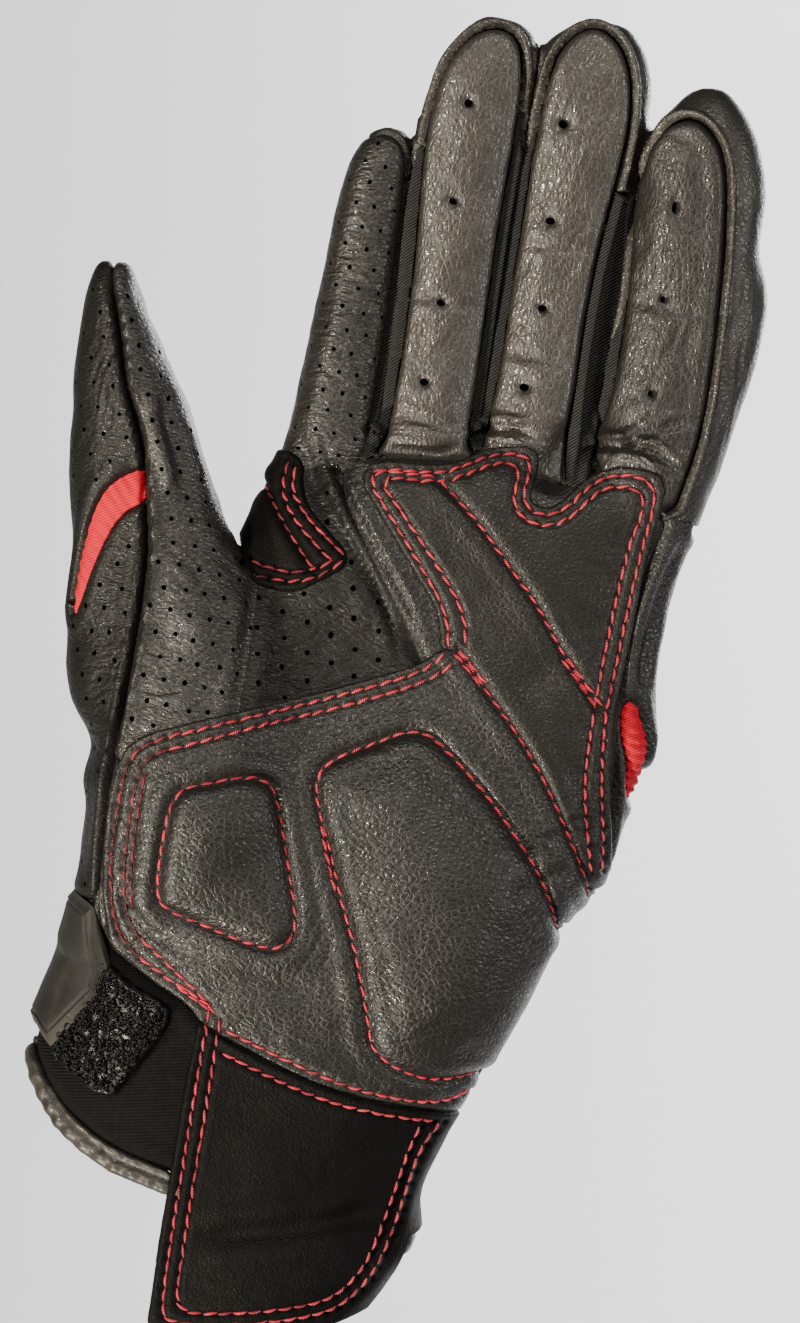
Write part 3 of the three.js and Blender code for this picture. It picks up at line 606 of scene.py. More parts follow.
# Folds of the worn leather: path, depth, width, height of the leather beside it
CREASES = [
    ([(-63.2, 184)] + THUMB_SEAM[2:], 1.1, 0.65, 0.5),
    ([(-52.9, 165.5), (-51.3, 159.6), (-49.1, 154.8), (-46.9, 150), (-45, 144)], -1.1, 1.3, -0.5),
    ([(-44.6, 161), (-44.2, 157), (-41, 152), (-38, 147)], -0.6, 1.6, -0.2),
    ([(-45, 137), (-42, 128), (-36, 122), (-30, 118)], -0.7, 4.0, 0.0),
    ([(-24, 162), (-20, 152), (-13, 143), (-6, 135), (1, 127), (4, 122)], 1.1, 1.5, 0.2),
    ([(-19, 160), (-14, 152), (-7, 143), (0, 134.5), (5, 127)], 0.8, 0.7, 0.35),
    ([(-17, 150), (-10, 141), (-4, 133.5), (0, 126), (2, 121)], 0.5, 0.7, 0.3),
    ([(-12, 159.4), (-4, 161), (4, 161.5), (9, 163)], 1.0, 1.4, 0.3),
    ([(8, 164.5), (12, 168), (17, 168.6), (21.5, 167.4)], 0.9, 0.9, 0.9),
    ([(28, 172), (25.8, 164), (24.4, 157)], 3.0, 3.0, 0.0),
    ([(29.6, 165), (33.5, 168), (38, 168.8), (44, 168), (49, 165.6)], 0.8, 0.9, 0.9),
    ([(33, 164), (40, 171), (47, 174), (51, 175)], 0.5, 0.8, 0.3),
    ([(52, 152), (49, 142), (47.5, 130), (48.5, 122)], 0.8, 1.2, 0.4),
    ([(-27, 103), (-26.4, 118), (-27.4, 131)], 0.6, 1.5, 0.5),
    ([(-8, 190), (-2, 190.6), (8, 190)], 0.35, 0.9, 0.1),
    ([(-8, 168), (0, 167), (8, 168)], 0.3, 1.0, 0.1),
    ([(12, 183), (19, 182), (27, 183)], 0.4, 1.0, 0.1),
    ([(12, 204), (19, 203.4), (26, 204)], 0.3, 1.0, 0.1),
    ([(34, 196), (42, 195), (50, 196)], 0.35, 1.0, 0.1),
    ([(-46, 74), (-40, 66), (-33, 62), (-26, 60)], 0.35, 1.0, 0.2),
    ([(-30, 49), (-22, 55), (-12, 58), (-2, 57)], 0.5, 2.4, 0.2),
    ([(22, 118), (28, 122), (36, 130)], 0.5, 3.0, 0.2),
    ([(30, 88), (38, 94), (46, 98)], 0.45, 1.6, 0.2),
    ([(27, 80), (35, 85), (44, 89)], 0.45, 1.4, 0.2),
]

# Ripples of worn leather: x, z, half width, half length, angle of the ripples in degrees, pitch, height
WRINKLES = [
    (-18, 188, 9, 20, 4, 1.3, 0.26), (-18, 168, 9, 8, -6, 1.6, 0.12), (-17, 208, 8, 8, 12, 1.4, 0.16),
    (0, 213, 7, 20, 84, 1.2, 0.1), (0, 180, 8, 20, 60, 1.5, 0.09), (20, 228, 7, 16, 78, 1.1, 0.12),
    (20, 195, 7, 22, 66, 1.4, 0.1), (42, 192, 6, 30, 82, 1.5, 0.16), (56, 195, 5, 34, 88, 2.2, 0.16),
    (0, 166, 8, 4, 2, 1.6, 0.28), (20, 170, 8, 4, -4, 1.6, 0.28), (40, 167, 9, 5, -8, 1.7, 0.28),
    (35, 90, 12, 14, 28, 2.0, 0.2), (42, 105, 6, 16, 10, 1.8, 0.12), (-43, 80, 4, 18, 4, 1.9, 0.24),
    (-35, 60, 9, 7, 38, 1.7, 0.24), (-20, 118, 9, 10, 24, 1.8, 0.22), (-12, 128, 8, 10, 34, 1.7, 0.2),
    (-40, 112, 10, 10, 4, 1.9, 0.2), (-40, 130, 8, 12, -30, 2.4, 0.14), (-55, 125, 6, 12, -30, 1.9, 0.2),
    (-52, 104, 5, 14, 10, 1.8, 0.2), (-62, 160, 5, 22, 84, 2.4, 0.12), (-14, 148, 6, 7, 40, 1.8, 0.24),
    (-26, 85, 9, 9, 2, 1.1, 0.1), (16, 54, 12, 8, 30, 1.7, 0.16), (-5, 75, 4, 16, 70, 1.6, 0.16),
    (-5, 105, 30, 5, 16, 1.9, 0.12), (-13, 46, 16, 5, -18, 1.8, 0.18), (10, 42, 12, 4, -8, 1.8, 0.18),
    (5, 14, 16, 7, 16, 2.6, 0.14), (-10, -3, 14, 5, 6, 2.4, 0.12), (38, 143, 4, 16, 2, 1.8, 0.12),
    (13, 160, 10, 5, 80, 1.7, 0.14), (44, 156, 4, 6, 10, 1.7, 0.14)]

# Rows of stitches: path, closed, whether it lies in a quilting groove, brightness of the thread, which
# partly paints on it the shade of the row's place
STITCH_ROWS = {
    "upper_outer": ([(10.6, 125.4), (10, 129), (8.3, 133.3), (2.8, 140), (-5.6, 150), (-9.4, 154.2),
                     (-7.4, 157), (2.8, 157.4), (7.2, 159), (12.8, 162.9), (19.8, 164.2), (20.9, 161.7),
                     (19.9, 155.2), (22, 153.1), (25.6, 152.7), (28.9, 155), (32.2, 159.7), (36, 162.6),
                     (40.6, 163.1), (45, 161.9), (44.9, 155), (44.1, 150), (43.2, 136.7), (42.8, 127.8),
                     (42, 116.7), (43.4, 104), (45.4, 94.4), (46.2, 87.8)], False, False, 0.9),
    "upper_inner": ([(13.6, 126.5), (13.2, 130), (11.5, 133.8), (7, 139.3), (-2.4, 149.6), (-7.2, 154.4),
                     (-5.8, 155.5), (3, 155.8), (7.6, 157.2), (13.2, 161.1), (18.2, 162.3), (18.9, 159),
                     (18.2, 155.6), (19.4, 152.4), (21.6, 151.2), (26.2, 150.7), (29.9, 153.2),
                     (33.2, 158.2), (36.8, 160.9), (43.2, 160.4), (43, 155), (41.5, 150), (40.4, 133),
                     (39.9, 121), (39.8, 112), (40.2, 103.3), (42.2, 94.4), (44.2, 87)],
                    False, False, 0.9),
    "finger_line": ([(3.8, 156.6), (12.8, 149.4), (19.4, 142.4), (26, 136), (30.6, 129.6), (36, 123.3),
                     (40, 118.3)],
                    False, True, 1.0),
    "palm_line": (PALM_LINE, False, True, 1.0),
    "lower_outer": ([(10.2, 124), (7.2, 120.2), (-6, 114), (-19.4, 108.4), (-36, 101.6), (-42, 99),
                     (-45.6, 95.4), (-46, 85), (-45.8, 75), (-44.6, 68), (-42.6, 62.6), (-39, 59), (-33, 56),
                     (-28, 53.6)],
                    False, False, 0.8),
    "lower_inner": ([(12, 122.4), (8, 118.4), (-6, 111.6), (-21.7, 105.4), (-35, 99.4), (-40.5, 97.3),
                     (-43, 94.4), (-43.4, 85), (-43.1, 75), (-42, 67.5), (-39.6, 63), (-35, 60), (-30, 56.6),
                     (-25, 53.4), (-22, 50.2)], False, False, 0.75),
    "thenar_line": (THENAR_PAD, True, True, 0.8),
    "heel_line": (HEEL_LINE, False, True, 1.0),
    "heel_foot": ([(-19.6, 47.6), (-7.3, 43.8), (2.7, 41), (11.6, 39.6), (22.7, 39.4), (27.4, 42.4)],
                  False, False, 0.8),
    "tab_outer": ([(-23.2, 51.5), (-23.4, 30), (-23.5, 10), (-23.4, -6.8), (-21.6, -8.8), (-10, -7.2),
                   (0, -4.9), (8, -2.4), (12, 1), (15, 5.6), (17, 12), (18.8, 22), (20.2, 31),
                   (23.4, 36)], False,
                   False, 0.6),
    "tab_inner": ([(-20.8, 49.5), (-20.9, 30), (-21, 10), (-20.9, -5), (-19, -6.4), (-10, -5), (0, -2.7),
                   (7, -0.4), (10.2, 2.4), (12.9, 6.4), (14.9, 13), (16.7, 22), (18.2, 31),
                   (19.6, 35)], False, False,
                   0.6),
    "tab_top": ([(-19.6, 43.4), (-9.6, 40.2), (0.4, 37.5), (11.6, 36.2), (21.6, 36)], False, False, 0.8),
    "saddle_outer": ([(-23.2, 157.5), (-23.8, 152), (-22.8, 149), (-19, 144.8), (-11.5, 139.4)], False,
                     False, 0.5),
    "saddle_inner": ([(-25, 156), (-25.6, 151.5), (-24.6, 148), (-20.6, 143.2), (-13.6, 137.9)], False,
                     False, 0.5),
    "saddle_foot": ([(-11.6, 138.4), (-14.4, 135.6), (-18, 133.6), (-21, 132.8), (-28, 133)], False, False,
                    0.35),
    "saddle_second": ([(-13.6, 138), (-17, 135.8), (-20.6, 134.6), (-26, 134.9), (-29.4, 135.8)], False,
                      False, 0.3),
    "saddle_line": ([(-29, 151), (-26, 146.4), (-21.5, 140.8), (-17, 136)], False, True, 0.3),
    "palm_tack": ([(12.6, 125.3), (18.7, 119.6)], False, False, 1.0),
    "palm_tack_back": ([(11.8, 124.5), (17.9, 118.8)], False, False, 1.0),
    "finger_tack": ([(32.9, 127.3), (41.2, 118.7)], False, False, 1.0),
    "finger_tack_back": ([(32.1, 126.6), (40.4, 118)], False, False, 1.0),
    "top_tack": ([(-9, 156.4), (-4, 156.6), (3.4, 156.9)], False, False, 1.0),
    "corner_tack": ([(-29.8, 54.9), (-23.4, 51.6)], False, False, 1.0),
    "corner_tack_back": ([(-29.4, 54.1), (-23, 50.8)], False, False, 0.9),
    "heel_tack": ([(-7.9, 88.6), (-6.2, 83.6), (-3.2, 76.4)], False, False, 1.0),
    "lower_third": ([(-41.8, 93), (-42, 85), (-41.8, 75), (-40.6, 68)], False, False, 0.45),
}


def noise(points, size, seed):
    """Smooth lumps of a given size, from -1 to 1. The size may differ by axis."""
    lattice = np.random.default_rng(seed).uniform(-1, 1, (24, 24, 24))
    place = points / np.asarray(size, float) + 7.3
    cell = np.floor(place).astype(int)
    t = eased(place - cell)
    total = np.zeros(len(points))
    for corner in np.ndindex(2, 2, 2):
        weight = np.prod(np.where(corner, t, 1 - t), axis=1)
        x, y, z = ((cell + corner) % 24).T
        total += weight * lattice[x, y, z]
    return total


def oval_distance(skin, x, z, wide, long):
    """Squared distance of each point from a place, in half widths and half lengths."""
    return ((skin.points[:, 0] - x) / wide) ** 2 + ((skin.points[:, 2] - z) / long) ** 2


def wrinkle_relief(skin):
    """Short uneven ripples of the palm side, in rounded regions that fade out at their rims."""
    shift = np.zeros(len(skin.points))
    for number, (x, z, wide, long, angle, pitch, height) in enumerate(WRINKLES):
        spread = oval_distance(skin, x, z, wide, long)
        near = (spread < 3) & (skin.normals[:, 1] < 0)
        if not near.any():
            continue
        place = skin.points[near]
        turn = math.radians(angle)
        along = place[:, 0] * math.cos(turn) + place[:, 2] * math.sin(turn)
        across = place[:, 2] * math.cos(turn) - place[:, 0] * math.sin(turn)
        across = across + 0.5 * pitch * noise(place, 3 * pitch, 300 + number)
        bands = noise(np.stack([along, place[:, 1], across], axis=1), (3.2 * pitch, 9, 0.62 * pitch),
                      100 + number)
        window = np.exp(-spread[near] ** 1.5) * np.clip(-2 * skin.normals[near, 1], 0, 1)
        shift[near] += height * window * (0.5 - 2 * np.abs(bands))
    return shift


def path_profile(plan, path, width):
    """Distance of each point to an open path, and a share that fades towards the path's ends."""
    path = softened(path, closed=False)
    low, high = path.min(0) - 4 * width, path.max(0) + 4 * width
    near = ((plan > low) & (plan < high)).all(axis=1)
    distance = np.full(len(plan), 99.0)
    fade = np.ones(len(plan))
    gap, place = path_distance(plan[near], path)
    total = np.linalg.norm(np.diff(path, axis=0), axis=1).sum()
    distance[near] = gap
    fade[near] = np.clip(np.minimum(place, total - place) / min(6.0, total / 3) + 0.15, 0, 1)
    return distance, fade


def creased(skin, creases):
    """Presses folds into the palm side of a skin, with the leather raised beside them."""
    front = np.clip(-skin.normals[:, 1] * 2, 0, 1)
    shift = np.zeros(len(skin.points))
    for path, depth, width, ridge in creases:
        distance, fade = path_profile(skin.plan, path, width)
        shift += fade * (ridge * bell(distance - 2 * width, width) - depth * bell(distance, width))
    skin.points = skin.points + skin.normals * (shift * front)[:, None]
    return skin


def bulged(skin, bulges, side):
    """Raises or hollows rounded places on the palm side (-1) or the back (1)."""
    facing_side = np.clip(side * skin.normals[:, 1] * 1.6, 0, 1)
    shift = np.zeros(len(skin.points))
    for x, z, wide, long, height in bulges:
        spread = oval_distance(skin, x, z, wide, long)
        shift += height * np.exp(-spread)
    skin.points = skin.points + skin.normals * (shift * facing_side)[:, None]
    return skin


def inside(skin, outline, rounds=2):
    return outline_field(skin.plan, softened(outline, rounds))


def palm_side(skin, y=0.0):
    return y - skin.points[:, 1]


def both(*fields):
    return np.minimum.reduce(fields)


def either(*fields):
    return np.maximum.reduce(fields)


def sewn_skin():
    """The whole outer form with the hand's roundness and the folds of worn leather."""
    skin = filled_fingers(joined_form())
    edges = edge_list(skin.faces)
    blend = np.exp(-((skin.points[:, 0] + 20) / 20) ** 2 - ((skin.points[:, 2] - 98) / 42) ** 2)
    blend *= np.clip((6 - skin.points[:, 1]) / 8, 0, 1) * np.clip((148 - skin.points[:, 2]) / 12, 0, 1)
    soft = relaxed(skin.points, edges, 120)
    skin.points = skin.points + (soft - skin.points) * np.clip(1.6 * blend, 0, 1)[:, None]
    skin.normals = point_normals(skin.points, skin.faces)
    skin.normals = relaxed(skin.normals, edges, 6)
    skin.normals /= np.linalg.norm(skin.normals, axis=1, keepdims=True)
    bulged(skin, PALM_BULGES, -1)
    bulged(skin, BACK_BULGES, 1)
    creased(skin, CREASES)
    lumps = 0.35 * noise(skin.points, 17, 3) + 0.22 * noise(skin.points, 8, 4)
    finger_wall = eased((skin.points[:,
                                     2] - FINGER_FOOT) / 6) * eased((np.abs(skin.normals[:, 0]) - 0.3) / 0.4)
    skin.points = skin.points + skin.normals * (lumps * (1 - finger_wall))[:, None]
    return skin


def finger_middle(skin, name, extra=0.0):
    return column(FINGERS[name], MIDDLE, skin.points[:, 2]) + extra


def finger_front(name, depth):
    return lambda skin: both(inside(skin, FRONTS[name]) + FRONT_TURN, inside(skin, CELLS[name], 0),
                             finger_middle(skin, name, depth) - skin.points[:, 1])


def finger_side(skin, name, side, top):
    """The fabric strip at one side of a finger, which narrows to a point towards the tip."""
    rows = FINGERS[name]
    z = skin.points[:, 2]
    centre = centre_of(rows, z)
    depth = SIDE_STRIP - 8.5 * eased((z - top + 36) / 36)
    return both(side * (skin.points[:, 0] - centre), finger_middle(skin, name, depth) - skin.points[:, 1],
                top - z, inside(skin, CELLS[name], 0))


def fourchette(left, right, top_left, top_right):
    return lambda skin: either(finger_side(skin, left, 1, top_left), finger_side(skin, right, -1, top_right))


def whole(outline, rounds=2):
    return lambda skin: inside(skin, outline, rounds)


def thumb_inner(skin):
    lower = either(inside(skin, THUMB_INNER_FOOT), inside(skin, THUMB_INNER_JOIN))
    return either(inside(skin, THUMB_INNER_TOP), both(lower, palm_side(skin)))


def thumb_base(skin):
    return either(inside(skin, THUMB_BASE), both(inside(skin, THUMB_BACK), -palm_side(skin)))


def on_palm(outline, y=0.0):
    return lambda skin: both(inside(skin, outline), palm_side(skin, y))


def on_back(outline, y):
    return lambda skin: both(inside(skin, outline), -palm_side(skin, y))


def binding_zone(skin):
    front = both(inside(skin, BINDING_FRONT, 1), palm_side(skin))
    back = both(inside(skin, BINDING_BACK, 1), -palm_side(skin, FLAP_EDGE))
    left = both(inside(skin, BINDING_SIDE, 1), palm_side(skin, 5), -palm_side(skin, -0.5))
    return either(front, back, left)


# Panels of the base leather, in the order in which they are cut from the skin
PANELS = [
    ("index_front", finger_front("index", 4)),
    ("middle_front", finger_front("middle", -0.5)),
    ("ring_front", finger_front("ring", -0.5)),
    ("little_front", finger_front("little", -0.5)),
    ("index_middle_fourchette", fourchette("index", "middle", 214, 219)),
    ("middle_ring_fourchette", fourchette("middle", "ring", 228, 226)),
    ("ring_little_fourchette", fourchette("ring", "little", 216, 198)),
    ("index_back", whole(CELLS["index"], 0)),
    ("middle_back", whole(CELLS["middle"], 0)),
    ("ring_back", whole(CELLS["ring"], 0)),
    ("little_back", whole(CELLS["little"], 0)),
    ("thumb_inner_panel", thumb_inner),
    ("thumb_red_insert", whole(RED_INSERT)),
    ("thumb_tip_panel", whole(THUMB_TIP)),
    ("thumb_base_panel", thumb_base),
    ("side_red_insert", on_palm(SIDE_INSERT, 6)),
    ("web_panel", on_palm(WEB)),
    ("palm_panel", on_palm(PALM, -2)),
    ("cuff_binding", binding_zone),
    ("cuff_gusset", on_palm(GUSSET, 4)),
    ("cuff_back", on_back(CUFF_BACK, -8)),
    ("hand_back_panel", whole(HAND_BACK)),
]


def node(tree, kind, inputs=None, **settings):
    """A new node; an input is given by name or number, as a value or as the socket that feeds it."""
    made = tree.nodes.new(kind)
    for key, value in settings.items():
        setattr(made, key, value)
    for key, value in (inputs or {}).items():
        if isinstance(value, bpy.types.NodeSocket):
            tree.links.new(value, made.inputs[key])
        else:
            made.inputs[key].default_value = value
    return made


def value_of(tree, operation, first, second=0.0, third=0.0):
    return node(tree, "ShaderNodeMath", {0: first, 1: second, 2: third}, operation=operation).outputs[0]


def ranged(tree, value, low, high, start=0.0, end=1.0, smooth=True):
    kind = "SMOOTHSTEP" if smooth else "LINEAR"
    inputs = {"Value": value, "From Min": low, "From Max": high, "To Min": start, "To Max": end}
    return node(tree, "ShaderNodeMapRange", inputs, interpolation_type=kind).outputs[0]


def mixed(tree, factor, first, second):
    return node(tree, "ShaderNodeMix", {0: factor, 6: first, 7: second}, data_type="RGBA").outputs[2]


def colour(red, green, blue):
    """A colour as read off a picture, turned into the linear values that the shaders use."""
    def linear(c):
        c = c / 255
        return c / 12.92 if c <= 0.04045 else ((c + 0.055) / 1.055) ** 2.4
    return (linear(red), linear(green), linear(blue), 1)


def group_of(name, kind, inputs, outputs):
    """A node group with named sockets; gives the group and its two ends."""
    group = bpy.data.node_groups.new(name, kind)
    for label, socket_type, value in inputs:
        socket = group.interface.new_socket(label, in_out="INPUT", socket_type=socket_type)
        if value is not None:
            socket.default_value = value
    for label, socket_type in outputs:
        group.interface.new_socket(label, in_out="OUTPUT", socket_type=socket_type)
    return group, group.nodes.new("NodeGroupInput"), group.nodes.new("NodeGroupOutput")


def leather_grain():
    """Pebbled grain, fine pores and creases of leather, from the place on the piece."""
    group, start, end = group_of("leather grain", "ShaderNodeTree", [
        ("Pebbles per metre", "NodeSocketFloat", 1100.0), ("Pebble height", "NodeSocketFloat", 1.0),
        ("Fine height", "NodeSocketFloat", 0.3), ("Crease height", "NodeSocketFloat", 0.5),
        ("Stretch", "NodeSocketVector", (1.0, 1.0, 1.0))], [
        ("Height", "NodeSocketFloat"), ("Tops", "NodeSocketFloat"), ("Patches", "NodeSocketFloat")])
    place = object_place(group)
    sway = node(group, "ShaderNodeTexNoise",
                {"Vector": place, "Scale": 700.0, "Detail": 2.0}).outputs["Color"]
    sway = node(group, "ShaderNodeVectorMath", {0: sway, 1: (0.5, 0.5, 0.5)}, operation="SUBTRACT").outputs[0]
    sway = node(group, "ShaderNodeVectorMath", {0: sway, "Scale": 0.0006}, operation="SCALE").outputs[0]
    bent = node(group, "ShaderNodeVectorMath", {0: place, 1: sway}, operation="ADD").outputs[0]
    stretched = node(group, "ShaderNodeVectorMath", {0: bent, 1: start.outputs[4]},
                     operation="MULTIPLY").outputs[0]
    cells = node(group, "ShaderNodeTexVoronoi", {"Vector": stretched, "Scale": start.outputs[0]},
                 feature="DISTANCE_TO_EDGE").outputs["Distance"]
    dome = ranged(group, cells, 0.0, 0.46, smooth=False)
    pebbles = value_of(group, "MULTIPLY", dome, value_of(group, "SUBTRACT", 2.0, dome))
    fine_scale = value_of(group, "MULTIPLY", start.outputs[0], 2.6)
    small = node(group, "ShaderNodeTexVoronoi", {"Vector": bent, "Scale": fine_scale},
                 feature="DISTANCE_TO_EDGE").outputs["Distance"]
    fine = ranged(group, small, 0.0, 0.4)
    region = clouds(group, place, 110.0, 4.0)
    region = ranged(group, region, 0.36, 0.64)
    folds = clouds(group, stretched, 330.0, 3.0)
    folds = value_of(group, "ABSOLUTE", value_of(group, "SUBTRACT", folds, 0.5))
    folds = ranged(group, folds, 0.0, 0.12)
    height = value_of(group, "MULTIPLY", pebbles, start.outputs[1])
    height = value_of(group, "MULTIPLY", height, ranged(group, region, 0.0, 1.0, 0.75, 1.1))
    height = value_of(group, "MULTIPLY_ADD", fine, start.outputs[2], height)
    height = value_of(group, "MULTIPLY_ADD", folds, start.outputs[3], height)
    group.links.new(height, end.inputs["Height"])
    group.links.new(value_of(group, "MULTIPLY", pebbles, ranged(group, fine, 0.2, 1.0)), end.inputs["Tops"])
    group.links.new(region, end.inputs["Patches"])
    return group


def new_material(name):
    material = bpy.data.materials.new(name)
    material.use_nodes = True
    return material, material.node_tree


def dressed(material, body, shine, height, relief, gloss=0.5, strength=1.0):
    """Joins colour, roughness and relief in millimetres to a material's shader, and sets its gloss."""
    tree = material.node_tree
    shader = tree.nodes["Principled BSDF"]
    tree.links.new(body, shader.inputs["Base Color"])
    if isinstance(shine, bpy.types.NodeSocket):
        tree.links.new(shine, shader.inputs["Roughness"])
    else:
        shader.inputs["Roughness"].default_value = shine
    bump = node(tree, "ShaderNodeBump", {"Height": height, "Distance": relief * MM, "Strength": strength})
    tree.links.new(bump.outputs[0], shader.inputs["Normal"])
    shader.inputs["Specular IOR Level"].default_value = gloss
    return material


def object_place(tree):
    return node(tree, "ShaderNodeTexCoord").outputs["Object"]


def clouds(tree, place, scale, detail):
    return node(tree, "ShaderNodeTexNoise",
                {"Vector": place, "Scale": scale, "Detail": detail}).outputs["Fac"]


def measure(tree, name):
    return node(tree, "ShaderNodeAttribute", attribute_name=name, attribute_type="GEOMETRY").outputs["Fac"]


def leather_material(name, **changes):
    """Leather with the look of the palm, apart from the changes."""
    look = {**LEATHER_LOOK, **changes}
    material, tree = new_material(name)
    grain = node(tree, "ShaderNodeGroup", node_tree=GRAIN)
    for label, value in look["grain"].items():
        grain.inputs[label].default_value = value
    tops = grain.outputs["Tops"]
    edge = ranged(tree, measure(tree, "edge"), look["rim"][0], look["rim"][1], 1.0, 0.0)
    groove = measure(tree, "groove")
    body = mixed(tree, grain.outputs["Patches"], colour(*look["dark"]), colour(*look["light"]))
    # Painted shade: the pebbles' valleys keep the darker colours, their tops take the lighter top colour
    body = mixed(tree, value_of(tree, "MULTIPLY", tops, look["top_share"]), body, colour(*look["top"]))
    rub = value_of(tree, "MULTIPLY", edge, tops)
    body = mixed(tree, value_of(tree, "MULTIPLY", rub, look["wear"]), body, colour(*look["worn"]))
    # Painted shade: seams, stitch grooves and inner walls take the near-black seam colour (deep)
    body = mixed(tree, value_of(tree, "MULTIPLY", groove, 0.9), body, colour(*look["deep"]))
    low, high = look["roughness"]
    shine = value_of(tree, "MULTIPLY_ADD", groove, 0.3, ranged(tree, tops, 0.05, 0.35, high, low))
    return dressed(material, body, shine, grain.outputs["Height"], look["relief"], look["gloss"])


def cloth_material(name, first, second, threads, slant, roughness, relief):
    """Woven or knitted fabric: diagonal ribs of thread with a finer cross thread."""
    material, tree = new_material(name)
    place = object_place(tree)
    turned = node(tree, "ShaderNodeMapping", {"Vector": place, "Rotation": (0, slant, 0)}).outputs[0]
    ribs = node(tree, "ShaderNodeTexWave", {"Vector": turned, "Scale": threads, "Distortion": 1.2,
                                            "Detail": 2.0, "Detail Scale": 3.0}, bands_direction="Z")
    cross = node(tree, "ShaderNodeTexWave", {"Vector": turned, "Scale": threads * 1.7, "Distortion": 1.0},
                 bands_direction="X")
    height = value_of(tree, "MULTIPLY_ADD", cross.outputs["Fac"], 0.35, ribs.outputs["Fac"])
    fuzz = clouds(tree, place, 900.0, 4.0)
    height = value_of(tree, "MULTIPLY_ADD", fuzz, 0.5, height)
    body = mixed(tree, ranged(tree, height, 0.2, 1.5), colour(*first), colour(*second))
    shine = ranged(tree, fuzz, 0.2, 0.8, roughness - 0.1, roughness + 0.1)
    return dressed(material, body, shine, height, relief, 0.2, 0.9)


def thread_material():
    """Polyester thread of two plies, with the twist running round it."""
    material, tree = new_material("stitching thread")
    turn = value_of(tree, "MULTIPLY_ADD", measure(tree, "along_thread"), 3.0, measure(tree, "round_thread"))
    ply = ranged(tree, value_of(tree, "SINE", value_of(tree, "MULTIPLY", turn, 4 * math.pi)), -1.0, 1.0)
    shade = measure(tree, "shade")
    # Painted light: the shade measure, partly painted shade, darkens each colour from its lit copy to a dark
    # red one; the pale colour on the crests of the ply twist is a painted highlight
    lit = mixed(tree, shade, colour(48, 8, 16), colour(190, 16, 42))
    pale = mixed(tree, shade, colour(92, 26, 36), colour(244, 92, 108))
    return dressed(material, mixed(tree, ply, lit, pale), 0.36, ply, 0.16)


def rubber_material():
    """Dusty moulded rubber with paler edges."""
    material, tree = new_material("moulded rubber")
    place = object_place(tree)
    grain = clouds(tree, place, 2600.0, 3.0)
    dust = ranged(tree, clouds(tree, place, 160.0, 5.0), 0.4, 0.75)
    edge = ranged(tree, measure(tree, "edge"), 0.0, 1.4, 1.0, 0.0)
    body = mixed(tree, dust, colour(35, 35, 33), colour(46, 45, 42))
    body = mixed(tree, value_of(tree, "MULTIPLY", edge, 0.35), body, colour(74, 71, 65))
    return dressed(material, body, ranged(tree, dust, 0.0, 1.0, 0.54, 0.68), grain, 0.05, 0.25)


def hook_material():
    """Shiny black fastener thread with a little lint."""
    material, tree = new_material("hook and loop")
    lint = clouds(tree, object_place(tree), 700.0, 3.0)
    body = mixed(tree, ranged(tree, lint, 0.5, 0.8), colour(5, 5, 5), colour(28, 27, 26))
    return dressed(material, body, ranged(tree, lint, 0.3, 0.7, 0.26, 0.5), lint, 0.08, 0.35)


def grain_of(pebbles=820.0, stretch=(0.9, 1.0, 1.15), height=1.0, crease=0.25):
    return {"Pebbles per metre": pebbles, "Pebble height": height, "Fine height": 0.12,
            "Crease height": crease, "Stretch": stretch}
